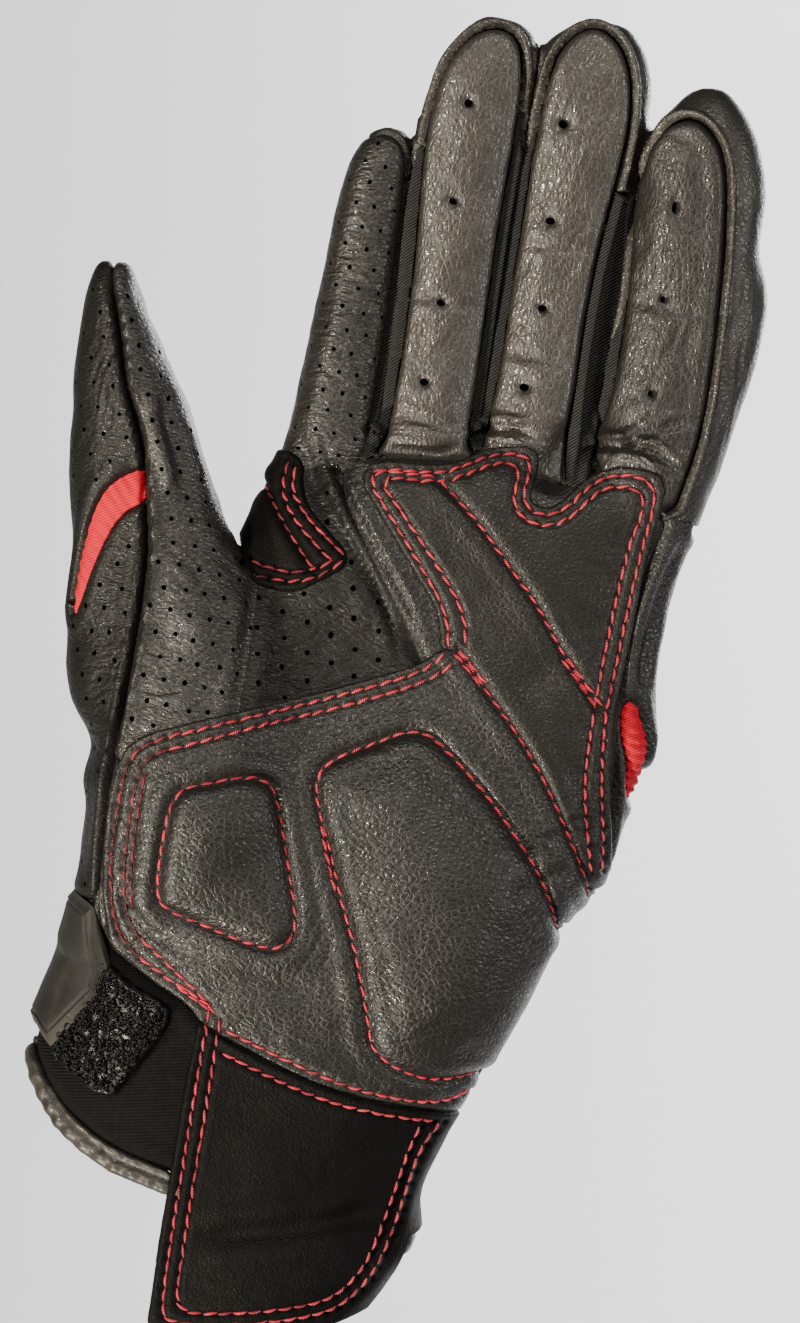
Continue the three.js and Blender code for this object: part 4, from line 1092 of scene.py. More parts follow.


# The look of the palm leather. Its colours are those of the valleys (dark, light), of the pebbles' tops,
# of the rubbed edges (worn) and of the seams (deep). The valleys are darker than the tops, which is painted
# shade in the grain's crevices, and the seam colour is painted shade in seams, grooves and inner walls.
# The rim is where the wear at a panel's edge starts and ends, the roughness is that of the tops and of the
# valleys, and lengths are in millimetres.
LEATHER_LOOK = {
    "grain": grain_of(), "dark": (10, 9, 7), "light": (16, 14, 11), "top": (44, 39, 31), "top_share": 0.95,
    "worn": (84, 77, 66), "wear": 0.3, "deep": (4, 3, 3), "rim": (0.4, 2.4), "roughness": (0.15, 0.52),
    "relief": 0.1, "gloss": 0.62,
}
# Seam colour of the patch leathers: painted shade, tinted red as a painted reflection of the red thread
RED_SEAM_SHADE = (26, 6, 6)
FINGER_GRAIN = grain_of(stretch=(1.3, 1.0, 0.75))
THUMB_GRAIN = grain_of(860.0, (0.6, 0.8, 1.5), crease=0.5)
FINE_GRAIN = grain_of(1300.0, height=0.6)
GRAIN = leather_grain()
MATERIALS = {
    "leather": leather_material("goat leather"),
    "finger": leather_material(
        "finger leather", grain=FINGER_GRAIN, dark=(30, 26, 21), light=(38, 34, 28), top=(76, 68, 57),
        relief=0.075, top_share=0.85, roughness=(0.16, 0.5), gloss=0.95),
    "little finger": leather_material(
        "little finger leather", grain=FINGER_GRAIN, dark=(20, 17, 14), light=(27, 24, 20), top=(46, 41, 34),
        relief=0.07, gloss=0.7),
    "finger back": leather_material(
        "finger back leather", dark=(26, 23, 19), light=(34, 30, 25), top=(50, 45, 38), rim=(0.9, 1.4),
        wear=0.9, worn=(150, 143, 132), relief=0.05),
    "perforated": leather_material(
        "perforated leather", grain=THUMB_GRAIN, dark=(13, 11, 8), light=(19, 16, 13), top=(62, 55, 45),
        relief=0.105, gloss=0.75),
    "web": leather_material(
        "perforated web leather", grain=THUMB_GRAIN, dark=(10, 9, 7), light=(15, 13, 10), top=(38, 34, 28),
        relief=0.09, roughness=(0.24, 0.55), gloss=0.35),
    "patch": leather_material(
        "patch leather", grain=grain_of(1000.0), dark=(12, 11, 8), light=(17, 15, 12), top=(52, 46, 38),
        relief=0.075, roughness=(0.2, 0.52), gloss=0.45, deep=RED_SEAM_SHADE),
    "lower patch": leather_material("lower patch leather", deep=RED_SEAM_SHADE),
    "saddle": leather_material(
        "saddle leather", grain=FINE_GRAIN, dark=(8, 6, 5), light=(14, 11, 10), top=(22, 18, 16),
        worn=(40, 35, 30), roughness=(0.42, 0.66), gloss=0.12),
    "tab": leather_material(
        "flap leather", grain=FINE_GRAIN, dark=(4, 3, 3), light=(7, 6, 5), top=(10, 9, 7), worn=(34, 30, 25),
        relief=0.14, roughness=(0.42, 0.66), gloss=0.15),
    "binding": leather_material(
        "binding leather", grain=grain_of(height=0.5), dark=(30, 28, 25), light=(52, 49, 44),
        top=(76, 72, 65), relief=0.07, roughness=(0.3, 0.5)),
    "stretch": cloth_material("red stretch fabric", (180, 10, 30), (222, 28, 54), 620.0, 0.5, 0.75, 0.06),
    "twill": cloth_material("black twill", (8, 8, 8), (68, 69, 67), 620.0, 0.7, 0.6, 0.3),
    "gusset": cloth_material("gusset fabric", (4, 4, 4), (11, 11, 10), 520.0, 0.2, 0.85, 0.15),
    "thread": thread_material(),
    "rubber": rubber_material(),
    "hook": hook_material(),
}


def combined(tree, x, y, z):
    return node(tree, "ShaderNodeCombineXYZ", {"X": x, "Y": y, "Z": z}).outputs[0]


def arched(tree, width, height, lean, feet, steps):
    """A curve that arches over a point; its feet are two heights, and lean moves its top to the side."""
    half = value_of(tree, "MULTIPLY", width, 0.5)
    first = combined(tree, value_of(tree, "MULTIPLY", half, -1.0), 0.0, feet[0])
    top = combined(tree, 0.0, value_of(tree, "MULTIPLY", half, lean), height)
    last = combined(tree, half, 0.0, feet[1])
    inputs = {"Resolution": steps, "Start": first, "Middle": top, "End": last}
    return node(tree, "GeometryNodeCurveQuadraticBezier", inputs).outputs[0]


def ring(tree, corners, radius):
    inputs = {"Resolution": corners, "Radius": radius}
    return node(tree, "GeometryNodeCurvePrimitiveCircle", inputs).outputs[0]


def strand(tree, line, profile, scale=1.0):
    """A smooth thread with closed ends along a line."""
    inputs = {"Curve": line, "Profile Curve": profile, "Scale": scale, "Fill Caps": True}
    made = node(tree, "GeometryNodeCurveToMesh", inputs).outputs[0]
    return node(tree, "GeometryNodeSetShadeSmooth", {0: made}).outputs[0]


def point_group(name, sizes):
    """A node group that works on points, with sizes in metres and a material; gives it and its two ends."""
    inputs = [("Points", "NodeSocketGeometry", None)]
    inputs += [(label, "NodeSocketFloat", value) for label, value in sizes]
    inputs += [("Material", "NodeSocketMaterial", None)]
    return group_of(name, "GeometryNodeTree", inputs, [("Geometry", "NodeSocketGeometry")])


def stitch_tree():
    """Lays a short arched thread on every point of the object, along its direction and its outward side."""
    tree, start, end = point_group("stitches", [
        ("Stitch length", 0.0026), ("Thread radius", 0.00029), ("Arch", 0.0006)])
    sunk = value_of(tree, "MULTIPLY", start.outputs["Arch"], -0.55)
    line = arched(tree, start.outputs["Stitch length"], start.outputs["Arch"], 0.0, (sunk, sunk), 6)
    place = node(tree, "GeometryNodeSplineParameter").outputs["Factor"]
    line = stored(tree, line, "along_thread", place)
    profile = stored(tree, ring(tree, 7, start.outputs["Thread radius"]), "round_thread", place)
    swell = value_of(tree, "SINE", value_of(tree, "MULTIPLY", place, math.pi))
    swell = value_of(tree, "ADD", value_of(tree, "MULTIPLY", swell, 0.6), 0.45)
    placed = instances_on(tree, start.outputs["Points"], strand(tree, line, profile, swell))
    finished(tree, placed, start.outputs["Material"], end)
    return tree


def stored(tree, geometry, name, value):
    return node(tree, "GeometryNodeStoreNamedAttribute", {"Geometry": geometry, "Name": name, "Value": value},
                data_type="FLOAT", domain="POINT").outputs[0]


def named(tree, name, kind="FLOAT_VECTOR"):
    return node(tree, "GeometryNodeInputNamedAttribute", {"Name": name}, data_type=kind).outputs[0]


def instances_on(tree, points, shape, scale=None):
    """Copies of a shape on the points, X along their direction and Z to their outward side."""
    turned = node(tree, "FunctionNodeAlignRotationToVector", {"Vector": named(tree, "out")},
                  axis="Z").outputs[0]
    turned = node(tree, "FunctionNodeAlignRotationToVector",
                  {"Rotation": turned, "Vector": named(tree, "along")},
                  axis="X", pivot_axis="Z").outputs[0]
    inputs = {"Points": points, "Instance": shape, "Rotation": turned}
    if scale is not None:
        inputs["Scale"] = scale
    return node(tree, "GeometryNodeInstanceOnPoints", inputs).outputs[0]


def finished(tree, placed, material, end):
    real = node(tree, "GeometryNodeRealizeInstances", {"Geometry": placed}).outputs[0]
    painted = node(tree, "GeometryNodeSetMaterial", {"Geometry": real, "Material": material}).outputs[0]
    tree.links.new(painted, end.inputs["Geometry"])


def loop_tree():
    """A short curled loop of fastener thread on every point."""
    tree, start, end = point_group("fastener loops", [
        ("Loop width", 0.0009), ("Loop height", 0.0016), ("Strand radius", 0.00011)])
    feet = (-0.0003, 0.0002)
    line = arched(tree, start.outputs["Loop width"], start.outputs["Loop height"], 1.0, feet, 5)
    loop = strand(tree, line, ring(tree, 4, start.outputs["Strand radius"]))
    size = named(tree, "size", "FLOAT")
    placed = instances_on(tree, start.outputs["Points"], loop, combined(tree, size, size, size))
    finished(tree, placed, start.outputs["Material"], end)
    return tree


def punch_tree():
    """Cuts a round hole through a panel at every point of the places object."""
    tree, start, end = group_of("perforations", "GeometryNodeTree", [
        ("Panel", "NodeSocketGeometry", None), ("Places", "NodeSocketObject", None),
        ("Hole radius", "NodeSocketFloat", 0.0006), ("Punch depth", "NodeSocketFloat", 0.006),
        ("Material", "NodeSocketMaterial", None)], [("Geometry", "NodeSocketGeometry")])
    places = node(tree, "GeometryNodeObjectInfo", {"Object": start.outputs["Places"]}).outputs["Geometry"]
    punch = node(tree, "GeometryNodeMeshCylinder", {"Vertices": 12, "Radius": start.outputs["Hole radius"],
                                                    "Depth": start.outputs["Punch depth"]}).outputs["Mesh"]
    size = combined(tree, 1.0, named(tree, "size", "FLOAT"), 1.0)
    punches = instances_on(tree, places, punch, size)
    punches = node(tree, "GeometryNodeRealizeInstances", {"Geometry": punches}).outputs[0]
    cut = tree.nodes.new("GeometryNodeMeshBoolean")
    cut.operation = "DIFFERENCE"
    cut.solver = "MANIFOLD"
    tree.links.new(start.outputs["Panel"], cut.inputs["Mesh 1"])
    tree.links.new(punches, cut.inputs["Mesh 2"])
    finished(tree, cut.outputs["Mesh"], start.outputs["Material"], end)
    return tree


def set_measure(mesh, label, values):
    """Gives a mesh one number for each of its points, which the materials and trees read by its label."""
    layer = mesh.attributes.new(label, "FLOAT", "POINT")
    layer.data.foreach_set("value", np.asarray(values, np.float32))


def points_object(name, places, along, out, extra):
    mesh = bpy.data.meshes.new(name)
    mesh.from_pydata(np.asarray(places) * MM, [], [])
    for label, values in (("along", along), ("out", out)):
        layer = mesh.attributes.new(label, "FLOAT_VECTOR", "POINT")
        layer.data.foreach_set("vector", np.asarray(values, np.float32).ravel())
    for label, values in extra.items():
        set_measure(mesh, label, values)
    return placed_object(name, mesh)


def grown(holder, tree, values, name):
    """Runs a tree on an object and gives the result as a plain mesh object."""
    modifier = holder.modifiers.new(tree.name, "NODES")
    modifier.node_group = tree
    for socket in tree.interface.items_tree:
        if socket.in_out == "INPUT" and socket.name in values:
            modifier[socket.identifier] = values[socket.name]
    bpy.context.view_layer.update()
    evaluated = holder.evaluated_get(bpy.context.evaluated_depsgraph_get())
    mesh = bpy.data.meshes.new_from_object(evaluated)
    mesh.name = name
    holder.modifiers.remove(modifier)
    bpy.data.objects.remove(holder)
    return placed_object(name, mesh)


TREES = {"stitches": stitch_tree(), "loops": loop_tree(), "punch": punch_tree()}


def sideways(out):
    """A direction across each outward one, level with the hand."""
    across = np.cross(out, np.array([0.0, 0.0, 1.0]))
    return across / np.maximum(np.linalg.norm(across, axis=1, keepdims=True), 1e-6)


def punched(panel, spots, radius, material, attributes, originals):
    """The panel with its holes cut through, its measures carried over to the new mesh."""
    places, normals, size = spots
    name = panel.name
    if not len(places):
        return panel
    marks = points_object("punch places", places, sideways(normals), normals, {"size": size})
    panel.name = name + ".uncut"
    made = grown(panel, TREES["punch"], {"Places": marks, "Hole radius": radius * MM, "Material": material},
                 name)
    bpy.data.objects.remove(marks)
    mesh = made.data
    tree = search_tree(originals)
    nearest = np.array([tree.find(point)[1] for point in points_of(mesh)])
    for label, values in attributes.items():
        if label in mesh.attributes:
            mesh.attributes.remove(mesh.attributes[label])
        set_measure(mesh, label, values[nearest])
    mesh.shade_smooth()
    mesh.set_sharp_from_angle(angle=math.radians(50))
    return made


def roll(distance, width):
    """The rounded rise of an edge, from 0 at the border to 1 at the width."""
    t = np.clip(distance / width, 0, 1)
    return np.sqrt(1 - (1 - t) ** 2)


def ray_tree(points, faces):
    return BVHTree.FromPolygons([Vector(p) for p in points], faces.tolist())


def seen_from_palm(tree, x, z):
    hit, normal, _, _ = tree.ray_cast(Vector((x, -80, z)), Vector((0, 1, 0)))
    return (None, None) if hit is None else (np.array(hit), np.array(normal))


def resampled(path, count_for):
    """Points at even steps along a path; count_for gives their number from the path's length."""
    length = np.concatenate([[0], np.cumsum(np.linalg.norm(np.diff(path, axis=0), axis=1))])
    steps = np.linspace(0, length[-1], count_for(length[-1]))
    return np.stack([np.interp(steps, length, values) for values in path.T], axis=1)


def ray_count(length):
    return int(length / RAY_STEP)


def needle_count(length):
    return max(2, int(round(length / STITCH_PITCH))) + 1


def needle_points(tree):
    """Where the needle went in: even steps along each row, measured over the leather."""
    rows = {}
    for name, (path, closed, _, _) in STITCH_ROWS.items():
        fine = softened(path, 2, closed)
        if closed:
            fine = np.concatenate([fine, fine[:1]])
        hits = [seen_from_palm(tree, x, z)[0] for x, z in resampled(fine, ray_count)]
        rows[name] = resampled(np.array([hit for hit in hits if hit is not None]), needle_count)
    return rows


def near_points(plan, marks, reach):
    """Distance of each point to the nearest mark in the plan."""
    tree = search_tree([(x, z, 0) for x, z in marks])
    return np.array([min(tree.find((x, z, 0))[2], reach) for x, z in plan])


# Groove of a stitch row: depth, width, then height, distance and width of the swell beside it
QUILTED_GROOVE = (0.9, 0.75, 0.35, 2.6, 1.6)
FLAT_GROOVE = (0.3, 0.6, 0.1, 1.3, 0.6)


def seam_relief(skin, needles):
    """Grooves and needle dimples along the stitch rows, and how deep each point lies in them, which the
    materials paint as shade.
    """
    sunk = np.zeros(len(skin.points))
    swelled = np.zeros(len(skin.points))
    groove = np.zeros(len(skin.points))
    for path, closed, quilted, _ in STITCH_ROWS.values():
        line = softened(path, 2, closed)
        low, high = line.min(0) - 9, line.max(0) + 9
        near = ((skin.plan > low) & (skin.plan < high)).all(axis=1)
        if not near.any():
            continue
        distance, _ = path_distance(skin.plan[near], line, closed)
        depth, width, swell, away, spread = QUILTED_GROOVE if quilted else FLAT_GROOVE
        sunk[near] = np.maximum(sunk[near], depth * bell(distance, width))
        swelled[near] = np.maximum(swelled[near], swell * bell(distance - away, spread))
        groove[near] = np.maximum(groove[near], bell(distance, 0.55))
    marks = np.concatenate([points[:, [0, 2]] for points in needles.values()])
    hole = near_points(skin.plan, marks, 3.0)
    dimple = bell(hole, 0.45)
    shift = swelled - sunk - 0.35 * dimple - 0.14 * bell(hole, 1.2)
    return shift, np.clip(0.55 * groove + dimple, 0, 1)


def cut_out(skin, field, levels):
    part, _ = split(skin, field)
    for _ in range(levels):
        part = refined(part)
    return part


def add_mesh(name, points, faces, material, attributes, sharp=None):
    mesh = mesh_from(name, points, faces)
    for label, values in attributes.items():
        set_measure(mesh, label, values)
    mesh.shade_smooth()
    if sharp is not None:
        mesh.set_sharp_from_angle(angle=math.radians(sharp))
    mesh.materials.append(material)
    return placed_object(name, mesh)


def finish_piece(made, node):
    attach(made, BODY)
    if node:
        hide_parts(node)
    return made


def well_covered(skin, outlines):
    """Triangles that lie on the palm side and well inside one of the outlines, under a patch."""
    hidden = np.zeros(len(skin.points), bool)
    for outline in outlines:
        hidden |= (inside(skin, outline) > 4) & (skin.points[:, 1] < 0)
    return hidden[skin.faces].all(axis=1)


def panel_relief(skin, spec, edge, whole_edge):
    """How far each point of a panel rises: its edges, seam ridges, lumps, ribs, wrinkles and patch beds."""
    uneven = 1 + 0.35 * noise(skin.points, 6, 21)
    shift = -spec["tuck"] * uneven * bell(edge, spec["turn"])
    height, place, width = spec["ridge"]
    shift += height * bell(edge - place, width)
    free = np.clip(whole_edge / 3, 0, 1)
    for amount, size, seed in spec["lumps"]:
        shift += amount * noise(skin.points, size, seed) * free
    if "ribs" in spec:
        pitch, height, angle = spec["ribs"]
        across = skin.points[:, 0] * math.cos(angle) + skin.points[:, 2] * math.sin(angle)
        across = across + 0.6 * noise(skin.points, 4, 8)
        shift += height * np.sin(2 * np.pi * across / pitch) * (1 + 0.6 * noise(skin.points, 3, 9))
    if spec["levels"]:
        shift += wrinkle_relief(skin)
    for outline in spec["under"]:
        covered = np.clip(inside(skin, outline) / 1.5, 0, 1) * (skin.points[:, 1] < 0)
        shift -= 0.7 * covered
    return shift


def leather_panel(node, skin, spec):
    """A sewn panel: its edges turned in at the seams, its wall closed, its holes punched."""
    spec = {**PLAIN_PANEL, **spec}
    for _ in range(spec["levels"]):
        skin = refined(skin, well_covered(skin, spec["coarse_under"]))
    whole_edge = border_distance(skin)
    unsewn = [(np.array(line, float), False) for line in spec["unsewn"]]
    if skin.plan[:, 1].max() > min(z for x, z in FINGER_ROOTS):
        unsewn.append((np.array(FINGER_ROOTS, float), False))
    edge = border_distance(skin, unsewn) if unsewn else whole_edge
    shift = panel_relief(skin, spec, edge, whole_edge)
    vents = np.array(FINGER_HOLES.get(node, []), float)
    for x, z, radius, stretch in vents:
        away = np.hypot(skin.points[:, 0] - x, (skin.points[:, 2] - z) / stretch)
        shift -= VENT_DEPTH * bell(away, 1.5 * radius) * (skin.normals[:, 1] < 0)
    skin.points = skin.points + skin.normals * shift[:, None]
    points, faces = thickened(skin, LEATHER)
    # Painted shade along the seams (the groove measure); the inner wall takes it all over
    seam = 0.9 * bell(edge, spec["dark"])
    # Painted shade: the part of the strip left of the line, in the gap beside the index, takes the seam
    # colour
    if "shaded" in spec:
        line = np.array(spec["shaded"])
        left_of = np.interp(skin.points[:, 2], line[:, 1], line[:, 0]) - skin.points[:, 0]
        seam = np.maximum(seam, eased(left_of / 0.4))
    attributes = {"edge": np.concatenate([edge, edge * 0]), "groove": np.concatenate([seam, seam * 0 + 1])}
    material = MATERIALS[spec["finish"]]
    made = add_mesh(node + "_" + spec["suffix"], points, faces, material, attributes)
    if "holes" in spec:
        spots = hole_places(skin, edge, spec["holes"])
        made = punched(made, spots, spec["holes"]["radius"], material, attributes, points)
    if len(vents):
        made = punched(made, vent_places(skin, vents), vents[0, 2], material, attributes, points)
    return finish_piece(made, node)


def vent_places(skin, vents):
    """Where the vent holes of a finger front go through, which way they point and how long they are."""
    tree = ray_tree(skin.points, skin.faces)
    hits = [seen_from_palm(tree, x, z) for x, z, _, _ in vents]
    return np.array([hit for hit, _ in hits]), np.array([normal for _, normal in hits]), vents[:, 3]


def hole_places(skin, edge, holes):
    """Hole centres of a panel in staggered rows on the palm side, kept off the seams."""
    tree = ray_tree(skin.points, skin.faces)
    clear = search_tree(skin.points)
    across, along, lean = holes["across"], holes["along"], math.radians(holes["lean"])
    low, high = skin.points.min(0), skin.points.max(0)
    middle = (low + high) / 2
    reach = np.linalg.norm(high - low) / 2 + across
    shaken = np.random.default_rng(holes["seed"])
    places, normals = [], []
    rows = int(reach / along)
    columns = int(reach / across)
    for row in range(-rows, rows + 1):
        for i in range(-columns, columns + 1):
            u = (i + 0.5 * (row % 2)) * across + shaken.uniform(-0.35, 0.35)
            v = row * along + shaken.uniform(-0.35, 0.35)
            x = middle[0] + u * math.cos(lean) - v * math.sin(lean)
            z = middle[2] + u * math.sin(lean) + v * math.cos(lean)
            hit, normal = seen_from_palm(tree, x, z)
            if hit is None or normal[1] > -0.12:
                continue
            _, nearest, gap = clear.find(hit)
            spot = np.array([[x, z]])
            covered = any(inside_outline(spot, softened(outline))[0] for outline in holes["off"])
            if gap < 2 and edge[nearest] > 2.2 and not covered:
                places.append(hit)
                normals.append(normal)
    return np.array(places), np.array(normals), shaken.uniform(0.85, 1.15, len(places))


SKIN = sewn_skin()
BASE_TREE = ray_tree(SKIN.points, SKIN.faces)
NEEDLES = needle_points(BASE_TREE)

# Points and faces of the sewn-on pieces, for the stitches to lie on
SEWN = []

SMALL_HOLES = {"across": 4.0, "along": 4.0, "lean": -4, "radius": 0.42, "seed": 31,
               "off": [SADDLE_PATCH, UPPER_PATCH]}
TIP_HOLES = {"across": 4.0, "along": 4.4, "lean": -4, "radius": 0.42, "seed": 34, "off": []}
THUMB_HOLES = {"across": 3.8, "along": 4.3, "lean": -4, "radius": 0.48, "seed": 32, "off": [LOWER_PATCH]}
WEB_HOLES = {"across": 5.2, "along": 4.8, "lean": -18, "radius": 0.54, "seed": 33,
             "off": [LOWER_PATCH, UPPER_PATCH, SADDLE_PATCH]}
# Vent holes of the finger fronts: x, z, radius, stretch along the finger
FINGER_HOLES = {
    "middle_front": [(-1.7, 228, 0.86, 0.9), (-1.7, 209.3, 0.86, 0.8), (-1, 190, 0.86, 0.8),
                     (-1.8, 174.6, 0.86, 0.8)],
    "ring_front": [(16.7, 227, 0.92, 1), (17.2, 208.6, 0.92, 0.8), (18.3, 192, 0.92, 0.8),
                   (17.2, 176.6, 0.92, 0.8)],
    "little_front": [(40, 214.4, 0.6, 2), (40.6, 197, 0.6, 1.1), (41.1, 179, 0.6, 1.1)],
}
# How far the leather dips towards a vent hole
VENT_DEPTH = 1.0

# A panel's spec: levels of finer mesh; how deep (tuck) and how wide (turn) its edges turn in; the ridge
# beside its seams as height, distance and width; lumps as height, size and seed; outlines of patches that
# lie on it (under) or hide it enough for a coarse mesh; borders that are not sewn; how wide the shade
# painted along its seams is (dark); its material, its slot and the end of its name. Some have ribs (pitch,
# height, angle), holes or a side painted with shade (shaded) too.
PLAIN_PANEL = {"levels": 0, "tuck": 1.1, "turn": 1.1, "ridge": (0.35, 2.6, 1.5), "lumps": [(0.12, 4, 5)],
               "under": [], "coarse_under": [], "unsewn": [], "dark": 0.55, "finish": "leather",
               "slot": "leather", "suffix": "leather"}
PERFORATED = {"finish": "perforated", "slot": "perforated_leather", "levels": 1}
THUMB_OUTER = {**PERFORATED, "finish": "web", "turn": 0.42, "dark": 0.34, "ridge": (0.4, 2.4, 1.7),
               "unsewn": [RED_END]}
FRONT = {"finish": "finger", "levels": 1, "tuck": 1.5, "turn": 0.9, "dark": 0.75}
FABRIC = {"suffix": "fabric", "slot": "twill", "finish": "twill"}
STRIP = {**FABRIC, "levels": 1, "tuck": 0.6, "turn": 0.5, "ridge": (0.9, 1.1, 0.6), "dark": 0.6}
BACK = {"finish": "finger back", "tuck": 1.0, "turn": 0.45, "ridge": (0.7, 0.85, 0.45), "levels": 1,
        "dark": 0.3}
RED = {"finish": "stretch", "slot": "red_stretch", "suffix": "fabric", "levels": 1, "tuck": 0.6,
       "ridge": (-0.3, 2, 2)}
PANEL_SPECS = {
    "index_front": {**PERFORATED, "levels": 2, "holes": SMALL_HOLES, "tuck": 0.6, "turn": 0.7,
                    "ridge": (0, 2, 1), "under": [SADDLE_PATCH],
                    "lumps": [(0.12, (9, 5, 2.2), 41), (0.1, 3.5, 42)]},
    "middle_front": {**FRONT, "lumps": [(0.22, (6, 4, 9), 43), (0.1, 2.6, 44)]},
    "ring_front": {**FRONT, "lumps": [(0.22, (6, 4, 9), 45), (0.1, 2.6, 46)]},
    "little_front": {**FRONT, "finish": "little finger", "lumps": [(0.24, (5, 4, 9), 47), (0.12, 2.6, 48)]},
    # Its index side is painted with shade
    "index_middle_fourchette": {**STRIP, "shaded": lifted_aside(INDEX_MIDDLE, 0.5)},
    "middle_ring_fourchette": STRIP,
    "ring_little_fourchette": STRIP,
    "index_back": {**BACK, "ridge": (0.15, 1.1, 0.55), "tuck": 0.5},
    "middle_back": BACK,
    "ring_back": BACK,
    "little_back": BACK,
    "thumb_inner_panel": {**PERFORATED, "holes": THUMB_HOLES, "tuck": 1.1, "turn": 0.42,
                          "dark": 0.34, "ridge": (0.4, 2.2, 1.6), "under": [LOWER_PATCH],
                          "unsewn": [THUMB_FOLD], "lumps": [(0.2, (7, 5, 4), 49), (0.1, 3, 50)]},
    "thumb_red_insert": {**RED, "ribs": (2.1, 0.1, 0.9)},
    "thumb_tip_panel": {**THUMB_OUTER, "holes": TIP_HOLES},
    "thumb_base_panel": {**THUMB_OUTER, "holes": THUMB_HOLES, "under": [LOWER_PATCH]},
    "side_red_insert": {**RED, "ribs": (1.9, 0.24, 1.4)},
    "web_panel": {**PERFORATED, "finish": "web", "holes": WEB_HOLES, "tuck": 0.8, "unsewn": [THUMB_FOLD],
                  "under": [LOWER_PATCH, UPPER_PATCH, SADDLE_PATCH],
                  "lumps": [(0.3, (5, 5, 7), 51), (0.14, 3, 52)]},
    "palm_panel": {"under": [LOWER_PATCH, UPPER_PATCH, SADDLE_PATCH], "tuck": 0.8, "levels": 1,
                   "coarse_under": [LOWER_PATCH, UPPER_PATCH]},
    "cuff_gusset": {**FABRIC, "finish": "gusset", "tuck": 0.5, "under": [LOWER_PATCH]},
    "cuff_back": {},
    "hand_back_panel": {},
}


def cut_panels(skin):
    rest = skin
    for name, zone in PANELS:
        panel, rest = split(rest, zone(rest))
        if name == "cuff_binding":
            binding(panel)
        else:
            leather_panel(name, panel, PANEL_SPECS[name])


def half_round(place):
    """The height of a round bead at a place from 0 to 1 across it."""
    return np.sqrt(np.clip(1 - (place * 2 - 1) ** 2, 0, 1))


def binding(skin):
    """The edge binding of the cuff: a wide roll over the edge and a narrow one above the seam."""
    skin = refined(skin)
    edge = border_distance(skin)
    low, along = path_distance(skin.plan, np.array(SLEEVE_FRONT, float))
    back_low, back_along = path_distance(skin.plan, np.array(SLEEVE_BACK, float))
    behind = skin.points[:, 1] > 0
    low = np.where(behind, back_low, low)
    along = np.where(behind, back_along, along)
    roll_end = 0.62 * BINDING_WIDTH
    wide = half_round(low / roll_end)
    narrow = half_round((low - roll_end) / (BINDING_WIDTH - roll_end))
    pucker = 1 + 0.16 * np.sin(2 * np.pi * along / 3.4 + 2 * noise(skin.points, 6, 62))
    shift = 0.1 + np.where(low < roll_end, 1.25 * wide, 0.7 * narrow) * pucker
    shift += 0.12 * noise(skin.points, 3, 61)
    points, faces = raised_shell(skin, shift, LEATHER)
    # Painted shade: the valley between the rolls takes the dark seam colour, the inner wall all of it
    valley = bell(low - roll_end, 0.35)
    attributes = {"edge": np.concatenate([edge, edge]), "groove": np.concatenate([valley, valley * 0 + 1])}
    made = add_mesh("cuff_binding_leather", points, faces, MATERIALS["binding"], attributes)
    finish_piece(made, "cuff_binding")


# Stitch lines that quilt a piece, and whether they close: the leather beside them is no edge
QUILTED = [(softened(PALM_LINE, 2, False), False), (softened(THENAR_PAD), True),
           (softened(HEEL_LINE, 2, False), False)]


def patch(node, zone, rise, finish, crown=0.0, crown_reach=5.0, lumps=0.14, extra=None, floor=0.3):
    """A piece sewn on top of the base leather, with a rolled edge, stitch grooves and a crowned middle."""
    skin = cut_out(SKIN, zone, 1)
    edge = border_distance(skin, QUILTED)
    height = rise * roll(edge + 0.05, EDGE_ROLL)
    relief, groove = seam_relief(skin, NEEDLES)
    height += relief * np.clip(edge, 0, 1)
    if crown:
        whole_edge = border_distance(skin)
        height += crown * (1 - np.exp(-(whole_edge / crown_reach) ** 1.4))
    height += lumps * noise(skin.points, 5, 71) + 0.06 * noise(skin.points, 2.2, 72)
    height += wrinkle_relief(skin) * np.clip(edge, 0, 1)
    if extra is not None:
        height += extra(skin)
    points, faces = raised_shell(skin, np.maximum(height, 0.05), floor)
    edges = np.concatenate([edge, edge * 0])
    # Painted shade along the stitch rows and needle holes; the floor takes it all over
    grooves = np.concatenate([groove, groove * 0 + 1])
    made = add_mesh(node + "_leather", points, faces, MATERIALS[finish], {"edge": edges, "groove": grooves})
    finish_piece(made, node)
    SEWN.append((skin.points, skin.faces))
    return made


def patches():
    pads = either(inside(SKIN, THENAR_PAD), inside(SKIN, HEEL_PAD))
    front = palm_side(SKIN, -1.5)
    patch("upper_palm_patch", both(inside(SKIN, UPPER_PATCH, 1), front), PATCH_RISE, "patch")
    lower = both(inside(SKIN, LOWER_PATCH, 1), -inside(SKIN, UPPER_PATCH, 1), front, -pads)
    patch("lower_palm_patch", lower, PATCH_RISE, "lower patch")
    saddle = both(inside(SKIN, SADDLE_PATCH), palm_side(SKIN, 9))
    patch("saddle_patch", saddle, 0.9, "saddle")
    thenar = patch("thenar_pad", both(inside(SKIN, THENAR_PAD), front), PATCH_RISE, "leather",
                   1.7, 4.0)
    heel = patch("heel_pad", both(inside(SKIN, HEEL_PAD), front), PATCH_RISE, "leather", 2.8, 6.5)


def flap_fold(skin):
    """The soft crosswise fold of the flap, and its slack."""
    distance, fade = path_profile(skin.plan, [(-19, 8), (-8, 11), (4, 14), (14, 18)], 2.4)
    fold = -1.1 * fade * bell(distance, 2.0) + 0.7 * fade * bell(distance - 4, 2.2)
    tucked = np.clip(inside(skin, LOWER_PATCH, 1) / 0.5 + 1, 0, 1)
    return fold + 0.35 * noise(skin.points, 13, 73) - 1.2 * tucked


def cuff():
    """The closing flap. Its top edge is sewn under the foot of the lower patch."""
    top = lifted(CUFF_TAB[:8], 1.3)
    zone = both(inside(SKIN, top + CUFF_TAB[8:], 1), palm_side(SKIN, FLAP_EDGE))
    patch("cuff_tab", zone, 1.5, "tab", extra=flap_fold, floor=0.1)


